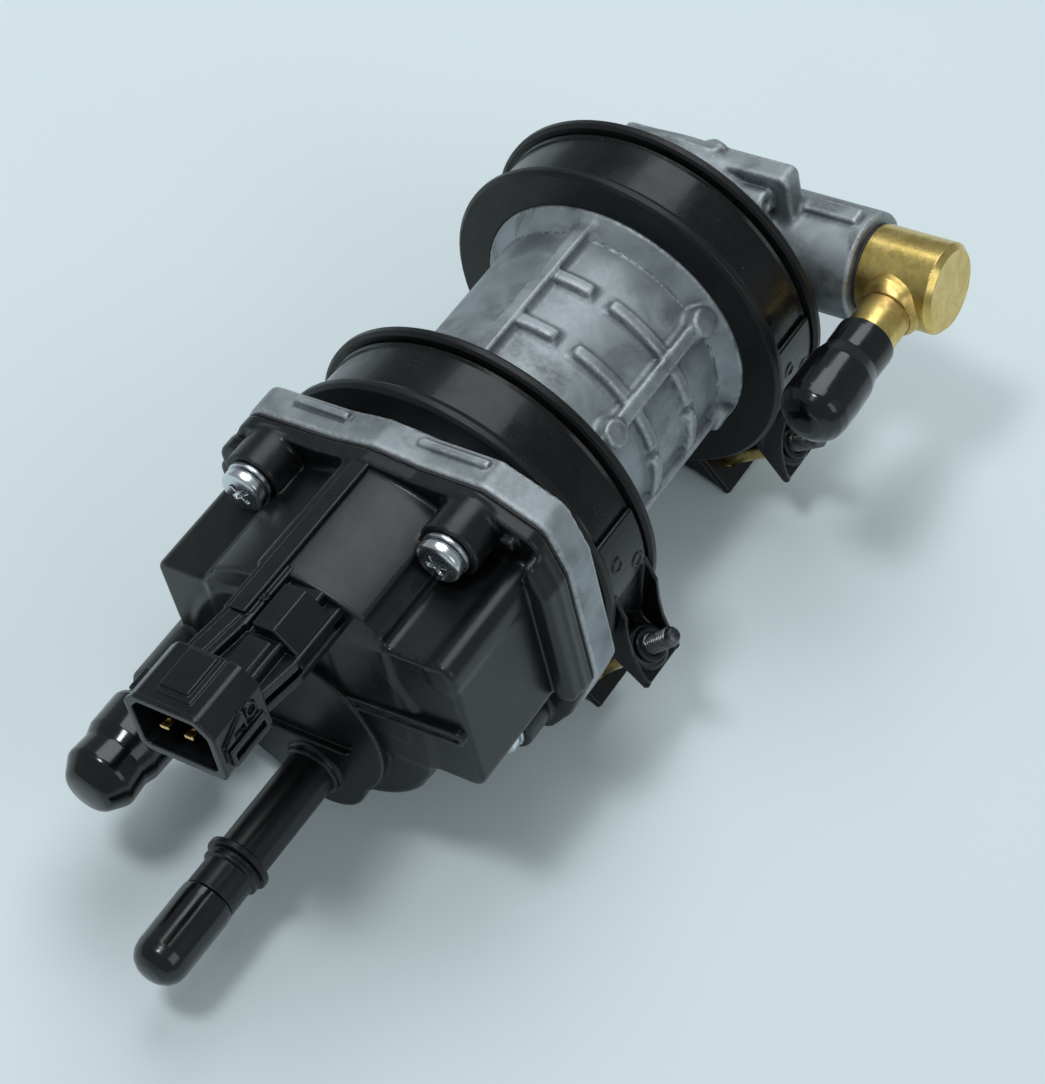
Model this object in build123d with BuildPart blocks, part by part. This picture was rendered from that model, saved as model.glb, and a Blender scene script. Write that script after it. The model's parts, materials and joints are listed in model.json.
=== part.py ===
"""Electric fuel pump of the frame-rail kind: cast housing, moulded cover, two clamped rubber isolators.

Millimetres. The pump is drawn about its own axis, which is the Y axis, with the cover towards -Y and
+Z up. It lies as it was laid down: both isolators and an ear of the rear clamp touch the floor, so the
castings are rolled about the pump axis by CASTING_ROLL. The last lines set it down on the floor z = 0.
"""
from build123d import *
from math import cos, radians, sin
import os

# The whole pump
CASTING_ROLL = 18.8
FIT = 0.05
RUNNING = 0.03
SLIDING = 0.15
PUMP_AXIS = Axis.Y
FORWARD_AXIS = Axis((0, 0, 0), (0, -1, 0))

# Rubber isolators, the same part twice
SEAT_RADIUS = 33.0
ISOLATOR_FLOOR = 5.6
ISOLATOR_LIP_HEIGHT = 3.4
GROOVE_RADIUS = SEAT_RADIUS + ISOLATOR_FLOOR
ISOLATOR_RADIUS = GROOVE_RADIUS + ISOLATOR_LIP_HEIGHT
ISOLATOR_WIDTH = 19.6
ISOLATOR_LIP = 2.8
ISOLATOR_BEVEL = 0.6
FRONT_CLAMP_Y = -29.1
REAR_CLAMP_Y = 41.1

# Clamps: a band with two welded ears, drawn about the angle that the ears point to
FRONT_EAR_ANGLE = -28.0
REAR_EAR_ANGLE = -39.0
BAND_THICKNESS = 1.0
BAND_WIDTH = 13.2
EAR_THICKNESS = 1.2
EAR_TAB_START = 60.0
EAR_TAB_END = 36.0
EAR_RISE = 3.4
EAR_LENGTH = 11.6
EAR_KNEE = GROOVE_RADIUS + EAR_RISE
EAR_TIP = EAR_KNEE + EAR_LENGTH
EAR_HALF_GAP = 9.4
GUSSET_THICKNESS = 1.0
GUSSET_FOOT = 41.0
GUSSET_EDGE = ((-4.8, 13.2), (-0.5, 8.1), (3.3, 4.7), (7.2, 2.3))
BOLT_SETBACK = 5.5
BOLT_REACH = EAR_KNEE + BOLT_SETBACK
BOLT_RADIUS = 2.5
SHANK_RADIUS = 2.2
BOLT_TIP = 22.7
BOLT_POINT_RADIUS = 2.25
THREAD_LEAD = 2.0
BOLT_HEAD_RADIUS = 4.1
BOLT_HEAD_HEIGHT = 2.0
BOLT_HEAD_TURN = 30
NUT_RADIUS = 5.2
NUT_COLLAR_RADIUS = 3.9
NUT_FLANGE = 1.6
NUT_HEIGHT = 3.2

# Cast housing
BARREL_RADIUS = 29.0
CAVITY_RADIUS = 24.2
FLANGE_FRONT = -52.0
FLANGE_THICKNESS = 8.0
REAR_SEAT_END = 52.0
FRONT_SEAT_END = -18.0
REAR_SEAT_START = 31.0
SHOULDER = 4.0
TAIL_RADIUS = 26.5
TAIL_STEP = 65.5
TAIL_TIP_RADIUS = 14.0
TAIL_END = 79.0
RIB_WIDTH = 3.6
RIB_TOP = 31.6
ROOT = 2.0
RIB_ANGLES = (90.0, 27.0, -27.0)
STUB_PLANES = (-0.5, 14.0)
STUB_WIDTH = 3.0
STUB_TOP = 30.9
STUB_SWEEPS = ((69.0, 90.0), (27.0, 60.0), (4.0, 27.0), (-27.0, -2.0))
PAD_RADIUS = 3.2
PAD_TOP = 32.8
PAD_PLANES = (-9.5, 26.5)
SCREW_POINTS = ((-21.6, 33.0), (27.4, 33.4), (28.6, -19.9), (-28.1, -20.5))
FLANGE_POINTS = (
    (-29.0, 39.2), (-9.0, 39.6), (2.0, 41.2), (14.0, 40.0), (29.0, 40.0), (42.4, 33.4), (45.8, 22.0),
    (45.8, -9.5), (40.2, -20.2), (33.6, -28.0), (24.0, -31.0), (12.0, -37.6), (-12.0, -37.6), (-25.0, -31.0),
    (-40.6, -28.0), (-42.0, -14.0), (-40.2, 22.0),
)
FLANGE_ROUND = 3.0
FLANGE_BARS = ((-21.0, -7.5), (10.3, 27.1))
FLANGE_BAR_TOP = 40.9
FLANGE_BAR_HEIGHT = 4.0
FLANGE_BAR_Y = -45.7
FLANGE_BAR_WIDTH = 1.8
THREAD_DEPTH = 7.0

# Block behind the rear seat, from which the inlet port leaves
BLOCK_AT = (6.5, 12.0)
BLOCK_WIDTH = 45.0
BLOCK_HEIGHT = 24.0
BLOCK_REAR = 69.6
BLOCK_LENGTH = 6.0
BLOCK_ROUND = 3.0
STRAINER_ROOM = 1.0
CAVITY_END = 48.0

# Inlet port, square to the pump axis, and its brazed brass elbow
PORT_Y = 68.4
PORT_RADIUS = 12.7
PORT_END = 45.4
PORT_BORE = 8.9
PORT_BORE_DEPTH = 16.0
PORT_STEP = 2.0
PORT_RIB_START = 21.5
PORT_RIB_END = 43.0
PORT_RIB_WIDTH = 4.4
PORT_RIB_SHIFT = 1.1
PORT_RIB_TOP = 14.0
PLUG_BOSS_RADIUS = 3.2
PLUG_BOSS_SHIFT = -7.4
PLUG_BOSS_HEIGHT = 18.0
PLUG_BOSS_START = 12.0
PLUG_BOSS_END = 24.8
ELBOW_RADIUS = 10.5
ELBOW_END = 64.7
ELBOW_TUBE_AT = 55.0
ELBOW_TUBE_RADIUS = 5.9
ELBOW_TUBE_BORE = 4.7
ELBOW_TUBE_END = 21.5
ELBOW_PASSAGE = 4.5
ELBOW_SEAL = 0.9
ELBOW_CHAMFER = 1.6
ELBOW_PLUG = 15.0
ELBOW_SEAL_INSET = 0.3
ELBOW_SOCKET = 6.0
BRAZE_RADIUS = 7.2
BRAZE_REACH = 0.8

# Moulded cover
GASKET = 0.6
GASKET_INSET = 0.5
COVER_FLANGE = 3.6
COVER_INSET = 0.3
COVER_RIM_END = -60.4
COVER_RIM_WIDTH = 5.0
COVER_RIM_TOP = 30.3
COVER_RIM_BOTTOM = -9.7
DOME_RADIUS = 39.3
DOME_RIGHT = 24.6
DOME_FRONT = -86.0
LEFT_DOME_RADIUS = 35.0
LEFT_DOME_END = -19.6
LOWER_RADIUS = 29.5
COVER_WALL = 3.0
COVER_CEILING = 6.0
RIGHT_BOX_LEFT = 10.0
RIGHT_BOX_RIGHT = 40.8
RIGHT_BOX_TOP = 25.9
RIGHT_BOX_BOTTOM = -9.8
RIDGE_WIDTH = 5.0
RIDGE_HEIGHT = 0.8
LEFT_BOX_LEFT = -33.0
LEFT_BOX_RIGHT = -5.0
LEFT_BOX_TOP = 26.0
LEFT_BOX_BOTTOM = 3.0
BOX_ROUND = 2.2
POCKET_WIDTH = 18.0
POCKET_HEIGHT = 29.0
POCKET_AT = (27.6, 7.8)
DRIVER_RADIUS = 5.9
CHAMBER_CENTRE = (-6.0, -8.0)
CHAMBER_RADIUS = 22.4
CHAMBER_FRONT = -88.4
CHAMBER_LIP = 4.2
CHAMBER_RECESS = 1.4
OUTLET_BASE_RADIUS = 12.2
BOSS_RADIUS = 6.7
BOSS_FRONT = -64.4
SPINE_LEFT = 0.2
SPINE_RIGHT = 4.8
SPINE_TOP = 40.4
SPINE_HEIGHT = 10.0
FACE_RIB_START = (8.0, 4.5)
FACE_RIB_END = (38.4, 6.6)
FACE_RIB_WIDTH = 3.2
FACE_RIB_RISE = 1.2

# Spigots of the cover
OUTLET_AT = (-4.4, -23.4)
OUTLET_BOSS_RADIUS = 8.0
OUTLET_BOSS_FRONT = -91.0
OUTLET_ROOT_RADIUS = 5.7
OUTLET_RADIUS = 4.75
OUTLET_BORE = 3.1
OUTLET_BEAD_RADIUS = 6.8
OUTLET_BEAD_Y = -117.0
OUTLET_END = -145.0
BEAD_HALF_WIDTH = 1.2
COLLAR_RADIUS = 6.0
COLLAR_WIDTH = 3.0
RETURN_AT = (-29.7, -2.6)
RETURN_BOSS_RADIUS = 8.6
RETURN_BOSS_FRONT = -99.5
RETURN_RADIUS = 5.9
RETURN_BORE = 3.9
RETURN_BEAD_RADIUS = 7.4
RETURN_BEAD_Y = -112.0
RETURN_END = -124.8

# Two-pin connector of the cover
CONNECTOR_AT = 6.0
CONNECTOR_HALF_WIDTH = 10.9
CONNECTOR_BOTTOM = 25.6
CONNECTOR_SHOULDER = 37.9
CONNECTOR_TOP = 41.0
CONNECTOR_CROWN = 5.4
CONNECTOR_FRONT = -125.5
CONNECTOR_BACK = -110.5
CONNECTOR_WALL = 1.5
SOCKET_FLOOR = -113.5
SHELL_ROUND = 1.6
SHELL_PAD_WIDTH = 8.6
SHELL_PAD_RISE = 1.0
SHELL_PAD_LENGTH = 12.0
NECK_SHIFT = 0.8
NECK_WIDTH = 15.6
NECK_BOTTOM = 28.4
NECK_TOP = 40.0
RAIL_WIDTH = 20.4
RAIL_HEIGHT = 33.4
RAIL_THICKNESS = 2.4
NECK_EMBED = 4.0
SOCKET_ROOF = 2.7
SOCKET_ROUND = 0.8
PIN_PITCH = 6.0
PIN_HEIGHT = 34.6
PIN_WIDTH = 2.2
PIN_THICKNESS = 0.8
PIN_FRONT = -122.0
PIN_BACK = -82.0
PIN_LEG_END = 20.0
LEAD_RADIUS = 0.9

# Screws of the cover
SCREW_RADIUS = 2.5
SCREW_PLAY = 0.2
SCREW_END = -46.0
WASHER_RADIUS = 5.3
WASHER_THICKNESS = 1.0
SCREW_HEAD_RADIUS = 5.1
SCREW_HEAD_HEIGHT = 3.3
HEAD_ROUND = 1.6

# Push-on caps
OUTLET_CAP_RADIUS = 6.1
OUTLET_CAP_ROUND = 5.1
OUTLET_CAP_MOUTH = -126.5
RETURN_CAP_RADIUS = 8.8
RETURN_CAP_MOUTH = -104.5
INLET_CAP_RADIUS = 8.4
INLET_CAP_NECK = 7.0
INLET_CAP_MOUTH = 47.5
INLET_CAP_BULGE_END = 38.0
INLET_CAP_ROUND = 7.0
RETURN_CAP_ROUND = 6.5
RETURN_CAP_GRIP = 2.0
CAP_END_WALL = 2.0

# Pump cartridge inside the housing
CASE_RADIUS = 22.4
CASE_WALL = 1.2
CASE_FRONT = -38.0
CASE_REAR = 46.0
SLEEVE_FRONT = -30.0
SLEEVE_REAR = 40.0
MAGNET_INNER = 16.6
MAGNET_FRONT = -13.0
MAGNET_REAR = 24.0
MAGNET_SWEEP = 140.0
MAGNET_ANGLES = (90.0, 270.0)
CORE_RADIUS = 15.6
CORE_FRONT = -10.0
CORE_REAR = 21.0
WINDING_RADIUS = 13.0
WINDING_LENGTH = 4.0
COMMUTATOR_RADIUS = 7.0
COMMUTATOR_FRONT = -25.0
COMMUTATOR_REAR = -15.5
SHAFT_RADIUS = 2.5
SHAFT_FRONT = -33.5
SHAFT_REAR = 41.0
BELL_REAR = -27.0
NIPPLE_AT = (-4.4, -12.0)
NIPPLE_RADIUS = 6.4
NIPPLE_FRONT = -50.5
NIPPLE_BORE = 4.2
BUSH_RADIUS = 4.5
BUSH_LENGTH = 5.0
PUMP_PLATE_FRONT = 27.5
PUMP_PLATE_FACE = 34.0
INLET_PLATE_FACE = 38.0
IMPELLER_RADIUS = 17.5
IMPELLER_CLEARANCE = 0.15
VANE_COUNT = 12
BRUSH_Y = -20.2
BRUSH_SIZE = 4.6
BRUSH_BACK = 14.0
BRUSH_GAP = 0.05
GUIDE_SIZE = 7.0
GUIDE_REACH = 20.4
GUIDE_WALL = 1.2
GUIDE_CLEARANCE = 1.0
BRUSH_SPRING_RADIUS = 1.6
BRUSH_SPRING_TURNS = 3
BRUSH_ANGLES = (0.0, 180.0)
SLOT_COUNT = 8
SLOT_DEPTH = 3.5
SLOT_WIDTH = 2.2
VANE_DEPTH = 2.5
VANE_GAP = 3.0
PLATE_PORT_RADIUS = 2.5
PLATE_PORT_REACH = 14.0
STRAINER_WALL = 0.8
STRAINER_RADIUS = 10.0
STRAINER_LENGTH = 8.0

# Valves
CHECK_SEAT_Y = -43.0
CHECK_HEAD = 2.4
CHECK_SPRING_LENGTH = 4.6
CHECK_STEM_RADIUS = 1.2
CHECK_STEM = 3.6
CHECK_PORT_RADIUS = 2.4
CHECK_SPRING_RADIUS = 2.5
CHECK_SPRING_TURNS = 3
CHECK_PLAY = 0.6
STOP_THICKNESS = 1.2
RETURN_SEAT_Y = -70.0
RETURN_SEAT_LENGTH = 3.0
RETURN_CHAMBER_RADIUS = 6.2
RETURN_CHAMBER_END = -97.0
RETURN_HEAD = 3.0
RETURN_STEM_RADIUS = 1.6
RETURN_STEM = 8.0
RETURN_SPRING_RADIUS = 3.4
RETURN_SPRING_LENGTH = 14.0
RETURN_SPRING_TURNS = 5
RETURN_PLAY = 1.2
STEM_PLAY = 0.6
WIRE_RADIUS = 0.45
WIRE_SIDES = 6
COIL_GAP = 0.15

# Middle of the outline as seen from above, measured from the pump axis and its zero
OUTLINE_MIDDLE_X = 9.54
OUTLINE_MIDDLE_Y = -32.95


def cross_plane(y, angle=CASTING_ROLL):
    """Plane square to the pump axis at y, seen from the front, with its x at an angle above world +X."""
    turn = radians(angle)
    return Plane(origin=(0, y, 0), x_dir=(cos(turn), 0, sin(turn)), z_dir=(0, -1, 0))


def axial_plane(angle):
    """Plane through the pump axis: local x is the radius at an angle above world +X, local y is +Y."""
    turn = radians(angle)
    return Plane(origin=(0, 0, 0), x_dir=(cos(turn), 0, sin(turn)), z_dir=(-sin(turn), 0, cos(turn)))


def casting_angle(angle):
    """World angle of an angle measured in the rolled casting."""
    return angle + CASTING_ROLL


def port_plane(reach):
    """Plane square to the inlet port, at a distance from the pump axis, looking out of the port."""
    turn = radians(CASTING_ROLL)
    origin = (reach * cos(turn), PORT_Y, reach * sin(turn))
    return Plane(origin=origin, x_dir=(0, 1, 0), z_dir=(cos(turn), 0, sin(turn)))


def bolt_plane(y, ear_angle, height):
    """Plane square to a clamp bolt, at a height above the middle of the gap between the ears."""
    turn = radians(ear_angle)
    origin = (BOLT_REACH * cos(turn) - height * sin(turn), y, BOLT_REACH * sin(turn) + height * cos(turn))
    return Plane(origin=origin, x_dir=(cos(turn), 0, sin(turn)), z_dir=(-sin(turn), 0, cos(turn)))


def ring(inner, outer, front, rear):
    """Adds a plain ring about the pump axis to the open part."""
    with BuildSketch(Plane.XY) as section:
        with Locations(((inner + outer) / 2, (front + rear) / 2)):
            Rectangle(outer - inner, rear - front)
    revolve(section.sketch, axis=PUMP_AXIS)


def rod(radius, front, rear, at=(0, 0), mode=Mode.ADD):
    """Adds or cuts a cylinder along the pump axis, at a point of the casting's cross section."""
    with BuildSketch(cross_plane(rear)) as section:
        with Locations(at):
            Circle(radius)
    extrude(section.sketch, amount=rear - front, mode=mode)


def tube(inner, outer, front, rear, at=(0, 0)):
    """Adds a tube along the pump axis, at a point of the casting's cross section."""
    with BuildSketch(cross_plane(rear)) as section:
        with Locations(at):
            Circle(outer)
            Circle(inner, mode=Mode.SUBTRACT)
    extrude(section.sketch, amount=rear - front)


def flange_outline(inset=0.0):
    """Returns the bolted outline that housing, gasket and cover share, in the casting's cross section."""
    with BuildSketch() as outline:
        with BuildLine():
            Polyline(*FLANGE_POINTS, close=True)
        make_face()
        fillet(outline.vertices(), radius=FLANGE_ROUND)
        if inset:
            offset(amount=-inset)
    return outline.sketch


def rounded_box(left, right, bottom, top, corner):
    """Adds a rectangle with round corners, given by its sides, to the open sketch."""
    with Locations(((left + right) / 2, (bottom + top) / 2)):
        RectangleRounded(right - left, top - bottom, corner)


def spring(start, radius, length, turns, at=(0, 0)):
    """Adds a coil spring that stands on the start plane and ends a length away, both ends flush."""
    foot = start.origin + start.x_dir * at[0] + start.y_dir * at[1] + start.z_dir * (WIRE_RADIUS + COIL_GAP)
    height = length - 2 * WIRE_RADIUS - 2 * COIL_GAP
    with BuildLine() as coil:
        Helix(pitch=height / turns, height=height, radius=radius, center=foot, direction=start.z_dir)
    path = coil.line
    with BuildSketch(Plane(origin=path @ 0, z_dir=path % 0)) as wire:
        RegularPolygon(WIRE_RADIUS, WIRE_SIDES)
    sweep(wire.sketch, path=path, is_frenet=True)


pieces = []


def keep(piece, label):
    """Labels a finished piece and keeps it for the export at the end."""
    piece.part.label = label
    pieces.append(piece.part)


# Housing: one aluminium casting with flange, two isolator seats, ribs, tail and inlet port
with BuildPart() as housing:
    with BuildSketch(cross_plane(FLANGE_FRONT + FLANGE_THICKNESS)):
        add(flange_outline())
    extrude(amount=FLANGE_THICKNESS)
    with BuildSketch(Plane.XY):
        with BuildLine():
            Polyline(
                (0, FLANGE_FRONT + FLANGE_THICKNESS / 2),
                (SEAT_RADIUS, FLANGE_FRONT + FLANGE_THICKNESS / 2),
                (SEAT_RADIUS, FRONT_SEAT_END),
                (BARREL_RADIUS, FRONT_SEAT_END + SHOULDER),
                (BARREL_RADIUS, REAR_SEAT_START - SHOULDER),
                (SEAT_RADIUS, REAR_SEAT_START),
                (SEAT_RADIUS, REAR_SEAT_END),
                (TAIL_RADIUS, REAR_SEAT_END),
                (TAIL_RADIUS, TAIL_STEP),
                (TAIL_TIP_RADIUS, TAIL_END),
                (0, TAIL_END),
                close=True,
            )
        make_face()
    revolve(axis=PUMP_AXIS)
    with BuildSketch(cross_plane(REAR_SEAT_START)):
        for rib_angle in RIB_ANGLES:
            with PolarLocations((BARREL_RADIUS - ROOT + RIB_TOP) / 2, 1, start_angle=rib_angle):
                Rectangle(RIB_TOP - BARREL_RADIUS + ROOT, RIB_WIDTH)
    extrude(amount=REAR_SEAT_START - FRONT_SEAT_END)
    for stub_y in STUB_PLANES:
        for first, last in STUB_SWEEPS:
            with BuildSketch(axial_plane(casting_angle(first))):
                with Locations(((BARREL_RADIUS - ROOT + STUB_TOP) / 2, stub_y)):
                    Rectangle(STUB_TOP - BARREL_RADIUS + ROOT, STUB_WIDTH)
            revolve(axis=FORWARD_AXIS, revolution_arc=last - first)
    for pad_angle in RIB_ANGLES[1:]:
        turn = radians(casting_angle(pad_angle))
        for pad_y in PAD_PLANES:
            foot = (BARREL_RADIUS - ROOT) * Vector(cos(turn), 0, sin(turn)) + Vector(0, pad_y, 0)
            with BuildSketch(Plane(origin=foot, x_dir=(0, 1, 0), z_dir=(cos(turn), 0, sin(turn)))):
                Circle(PAD_RADIUS)
            extrude(amount=PAD_TOP - BARREL_RADIUS + ROOT)
    for bar_left, bar_right in FLANGE_BARS:
        with BuildSketch(cross_plane(FLANGE_BAR_Y)):
            with Locations(((bar_left + bar_right) / 2, FLANGE_BAR_TOP - FLANGE_BAR_HEIGHT / 2)):
                Rectangle(bar_right - bar_left, FLANGE_BAR_HEIGHT)
        extrude(amount=FLANGE_BAR_WIDTH)
    with BuildSketch(cross_plane(BLOCK_REAR)):
        with Locations(BLOCK_AT):
            RectangleRounded(BLOCK_WIDTH, BLOCK_HEIGHT, BLOCK_ROUND)
    extrude(amount=BLOCK_LENGTH)
    with BuildSketch(port_plane(0)):
        Circle(PORT_RADIUS)
    extrude(amount=PORT_END)
    with BuildSketch(port_plane(PORT_RIB_START)):
        with Locations((PORT_RIB_SHIFT, PORT_RIB_TOP / 2)):
            Rectangle(PORT_RIB_WIDTH, PORT_RIB_TOP)
    extrude(amount=PORT_RIB_END - PORT_RIB_START)
    with BuildSketch(port_plane(PLUG_BOSS_START)):
        with Locations((PLUG_BOSS_SHIFT, PLUG_BOSS_HEIGHT)):
            Circle(PLUG_BOSS_RADIUS)
    extrude(amount=PLUG_BOSS_END - PLUG_BOSS_START)
    rod(CAVITY_RADIUS, FLANGE_FRONT, CAVITY_END, mode=Mode.SUBTRACT)
    rod(STRAINER_RADIUS + STRAINER_ROOM, CAVITY_END, PORT_Y, mode=Mode.SUBTRACT)
    with BuildSketch(port_plane(0)):
        Circle(PORT_BORE - PORT_STEP)
    extrude(amount=PORT_END, mode=Mode.SUBTRACT)
    with BuildSketch(port_plane(PORT_END - PORT_BORE_DEPTH)):
        Circle(PORT_BORE + FIT)
    extrude(amount=PORT_BORE_DEPTH, mode=Mode.SUBTRACT)
    for point in SCREW_POINTS:
        rod(SCREW_RADIUS + FIT, FLANGE_FRONT, FLANGE_FRONT + THREAD_DEPTH, at=point, mode=Mode.SUBTRACT)
keep(housing, "housing")

# Gasket between housing and cover
with BuildPart() as cover_gasket:
    with BuildSketch(cross_plane(FLANGE_FRONT)):
        add(flange_outline(GASKET_INSET))
        Circle(CAVITY_RADIUS, mode=Mode.SUBTRACT)
        with Locations(*SCREW_POINTS):
            Circle(SCREW_RADIUS + SCREW_PLAY, mode=Mode.SUBTRACT)
    extrude(amount=GASKET)
keep(cover_gasket, "cover_gasket")

COVER_BACK = FLANGE_FRONT - GASKET
COVER_FLANGE_FRONT = COVER_BACK - COVER_FLANGE
PIN_PLACES = (CONNECTOR_AT - PIN_PITCH / 2, CONNECTOR_AT + PIN_PITCH / 2)

# Cover: one moulding with dome, two box-shaped shoulders, fuel chamber, spigots and connector
with BuildPart() as cover:
    with BuildSketch(cross_plane(COVER_BACK)):
        add(flange_outline(COVER_INSET))
    extrude(amount=COVER_FLANGE)
    with BuildSketch(cross_plane(COVER_FLANGE_FRONT)):
        add(flange_outline(COVER_INSET))
        rim_middle = (RIGHT_BOX_RIGHT + COVER_RIM_WIDTH / 2, (COVER_RIM_TOP + COVER_RIM_BOTTOM) / 2)
        with Locations(rim_middle):
            Rectangle(COVER_RIM_WIDTH + 2 * ROOT, COVER_RIM_TOP - COVER_RIM_BOTTOM, mode=Mode.INTERSECT)
    extrude(amount=COVER_FLANGE_FRONT - COVER_RIM_END)
    with BuildSketch(cross_plane(COVER_FLANGE_FRONT)):
        Circle(DOME_RADIUS)
        with Locations((DOME_RIGHT / 2, DOME_RADIUS / 2)):
            Rectangle(DOME_RIGHT, DOME_RADIUS, mode=Mode.INTERSECT)
    extrude(amount=COVER_FLANGE_FRONT - DOME_FRONT)
    with BuildSketch(cross_plane(COVER_FLANGE_FRONT)):
        Circle(LEFT_DOME_RADIUS)
        with Locations((LEFT_DOME_END / 2, DOME_RADIUS / 2)):
            Rectangle(-LEFT_DOME_END, DOME_RADIUS, mode=Mode.INTERSECT)
    extrude(amount=COVER_FLANGE_FRONT - DOME_FRONT)
    with BuildSketch(cross_plane(COVER_FLANGE_FRONT)):
        Circle(LOWER_RADIUS)
        rounded_box(RIGHT_BOX_LEFT, RIGHT_BOX_RIGHT, RIGHT_BOX_BOTTOM, RIGHT_BOX_TOP, BOX_ROUND)
        rounded_box(LEFT_BOX_LEFT, LEFT_BOX_RIGHT, LEFT_BOX_BOTTOM, LEFT_BOX_TOP, BOX_ROUND)
        ridge_top = RIGHT_BOX_TOP + RIDGE_HEIGHT
        ridge_left = RIGHT_BOX_RIGHT - RIDGE_WIDTH
        rounded_box(ridge_left, RIGHT_BOX_RIGHT, ridge_top - RIDGE_WIDTH, ridge_top, BOX_ROUND)
    extrude(amount=COVER_FLANGE_FRONT - DOME_FRONT)
    with BuildSketch(cross_plane(DOME_FRONT)):
        with BuildLine():
            Line(FACE_RIB_START, FACE_RIB_END)
        trace(line_width=FACE_RIB_WIDTH)
    extrude(amount=FACE_RIB_RISE)
    rod(CHAMBER_RADIUS, CHAMBER_FRONT, COVER_FLANGE_FRONT, at=CHAMBER_CENTRE)
    rod(OUTLET_BASE_RADIUS, CHAMBER_FRONT, COVER_FLANGE_FRONT, at=OUTLET_AT)
    rod(CHAMBER_RADIUS - CHAMBER_LIP, CHAMBER_FRONT, CHAMBER_FRONT + CHAMBER_RECESS, at=CHAMBER_CENTRE,
        mode=Mode.SUBTRACT)
    for point in SCREW_POINTS:
        rod(BOSS_RADIUS, BOSS_FRONT, COVER_FLANGE_FRONT, at=point)
        rod(DRIVER_RADIUS, DOME_FRONT, BOSS_FRONT, at=point, mode=Mode.SUBTRACT)
    with BuildSketch(cross_plane(COVER_FLANGE_FRONT)):
        with Locations(((SPINE_LEFT + SPINE_RIGHT) / 2, SPINE_TOP - SPINE_HEIGHT / 2)):
            Rectangle(SPINE_RIGHT - SPINE_LEFT, SPINE_HEIGHT)
    extrude(amount=COVER_FLANGE_FRONT - CONNECTOR_BACK)
    with BuildSketch(cross_plane(DOME_FRONT + NECK_EMBED)):
        with Locations((CONNECTOR_AT + NECK_SHIFT, (NECK_BOTTOM + NECK_TOP) / 2)):
            Rectangle(NECK_WIDTH, NECK_TOP - NECK_BOTTOM)
        with Locations((CONNECTOR_AT + NECK_SHIFT, RAIL_HEIGHT)):
            Rectangle(RAIL_WIDTH, RAIL_THICKNESS)
    extrude(amount=DOME_FRONT + NECK_EMBED - CONNECTOR_BACK)
    with BuildSketch(cross_plane(CONNECTOR_BACK)):
        with BuildLine():
            Polyline(
                (CONNECTOR_AT - CONNECTOR_HALF_WIDTH, CONNECTOR_BOTTOM),
                (CONNECTOR_AT + CONNECTOR_HALF_WIDTH, CONNECTOR_BOTTOM),
                (CONNECTOR_AT + CONNECTOR_HALF_WIDTH, CONNECTOR_SHOULDER),
                (CONNECTOR_AT + CONNECTOR_CROWN, CONNECTOR_TOP),
                (CONNECTOR_AT - CONNECTOR_CROWN, CONNECTOR_TOP),
                (CONNECTOR_AT - CONNECTOR_HALF_WIDTH, CONNECTOR_SHOULDER),
                close=True,
            )
        shell_outline = make_face()
        fillet(shell_outline.vertices(), radius=SHELL_ROUND)
    extrude(amount=CONNECTOR_BACK - CONNECTOR_FRONT)
    with BuildSketch(cross_plane(CONNECTOR_BACK)):
        with Locations((CONNECTOR_AT, CONNECTOR_TOP)):
            Rectangle(SHELL_PAD_WIDTH, 2 * SHELL_PAD_RISE)
    extrude(amount=SHELL_PAD_LENGTH)
    rod(OUTLET_BOSS_RADIUS, OUTLET_BOSS_FRONT, DOME_FRONT, at=OUTLET_AT)
    rod(OUTLET_ROOT_RADIUS, OUTLET_BEAD_Y, OUTLET_BOSS_FRONT, at=OUTLET_AT)
    rod(OUTLET_BEAD_RADIUS, OUTLET_BEAD_Y - BEAD_HALF_WIDTH, OUTLET_BEAD_Y + BEAD_HALF_WIDTH, at=OUTLET_AT)
    rod(COLLAR_RADIUS, OUTLET_BEAD_Y - COLLAR_WIDTH, OUTLET_BEAD_Y, at=OUTLET_AT)
    rod(OUTLET_RADIUS, OUTLET_END, OUTLET_BEAD_Y, at=OUTLET_AT)
    rod(RETURN_BOSS_RADIUS, RETURN_BOSS_FRONT, COVER_FLANGE_FRONT, at=RETURN_AT)
    rod(RETURN_RADIUS, RETURN_END, RETURN_BOSS_FRONT, at=RETURN_AT)
    rod(RETURN_BEAD_RADIUS, RETURN_BEAD_Y - BEAD_HALF_WIDTH, RETURN_BEAD_Y + BEAD_HALF_WIDTH, at=RETURN_AT)
    rod(CAVITY_RADIUS, DOME_FRONT + COVER_WALL, COVER_BACK, mode=Mode.SUBTRACT)
    with BuildSketch(cross_plane(COVER_BACK - COVER_CEILING)):
        with Locations(POCKET_AT):
            Rectangle(POCKET_WIDTH, POCKET_HEIGHT)
    extrude(amount=COVER_BACK - COVER_CEILING - DOME_FRONT - COVER_WALL, mode=Mode.SUBTRACT)
    rod(OUTLET_BORE, OUTLET_END, DOME_FRONT + COVER_WALL, at=OUTLET_AT, mode=Mode.SUBTRACT)
    rod(RETURN_CHAMBER_RADIUS, RETURN_CHAMBER_END, COVER_BACK - COVER_CEILING, at=RETURN_AT,
        mode=Mode.SUBTRACT)
    rod(RETURN_BORE, RETURN_END, RETURN_CHAMBER_END, at=RETURN_AT, mode=Mode.SUBTRACT)
    with BuildSketch(cross_plane(SOCKET_FLOOR)):
        socket_side = CONNECTOR_HALF_WIDTH - CONNECTOR_WALL
        rounded_box(CONNECTOR_AT - socket_side, CONNECTOR_AT + socket_side,
                    CONNECTOR_BOTTOM + CONNECTOR_WALL, CONNECTOR_TOP - SOCKET_ROOF, SOCKET_ROUND)
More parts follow.
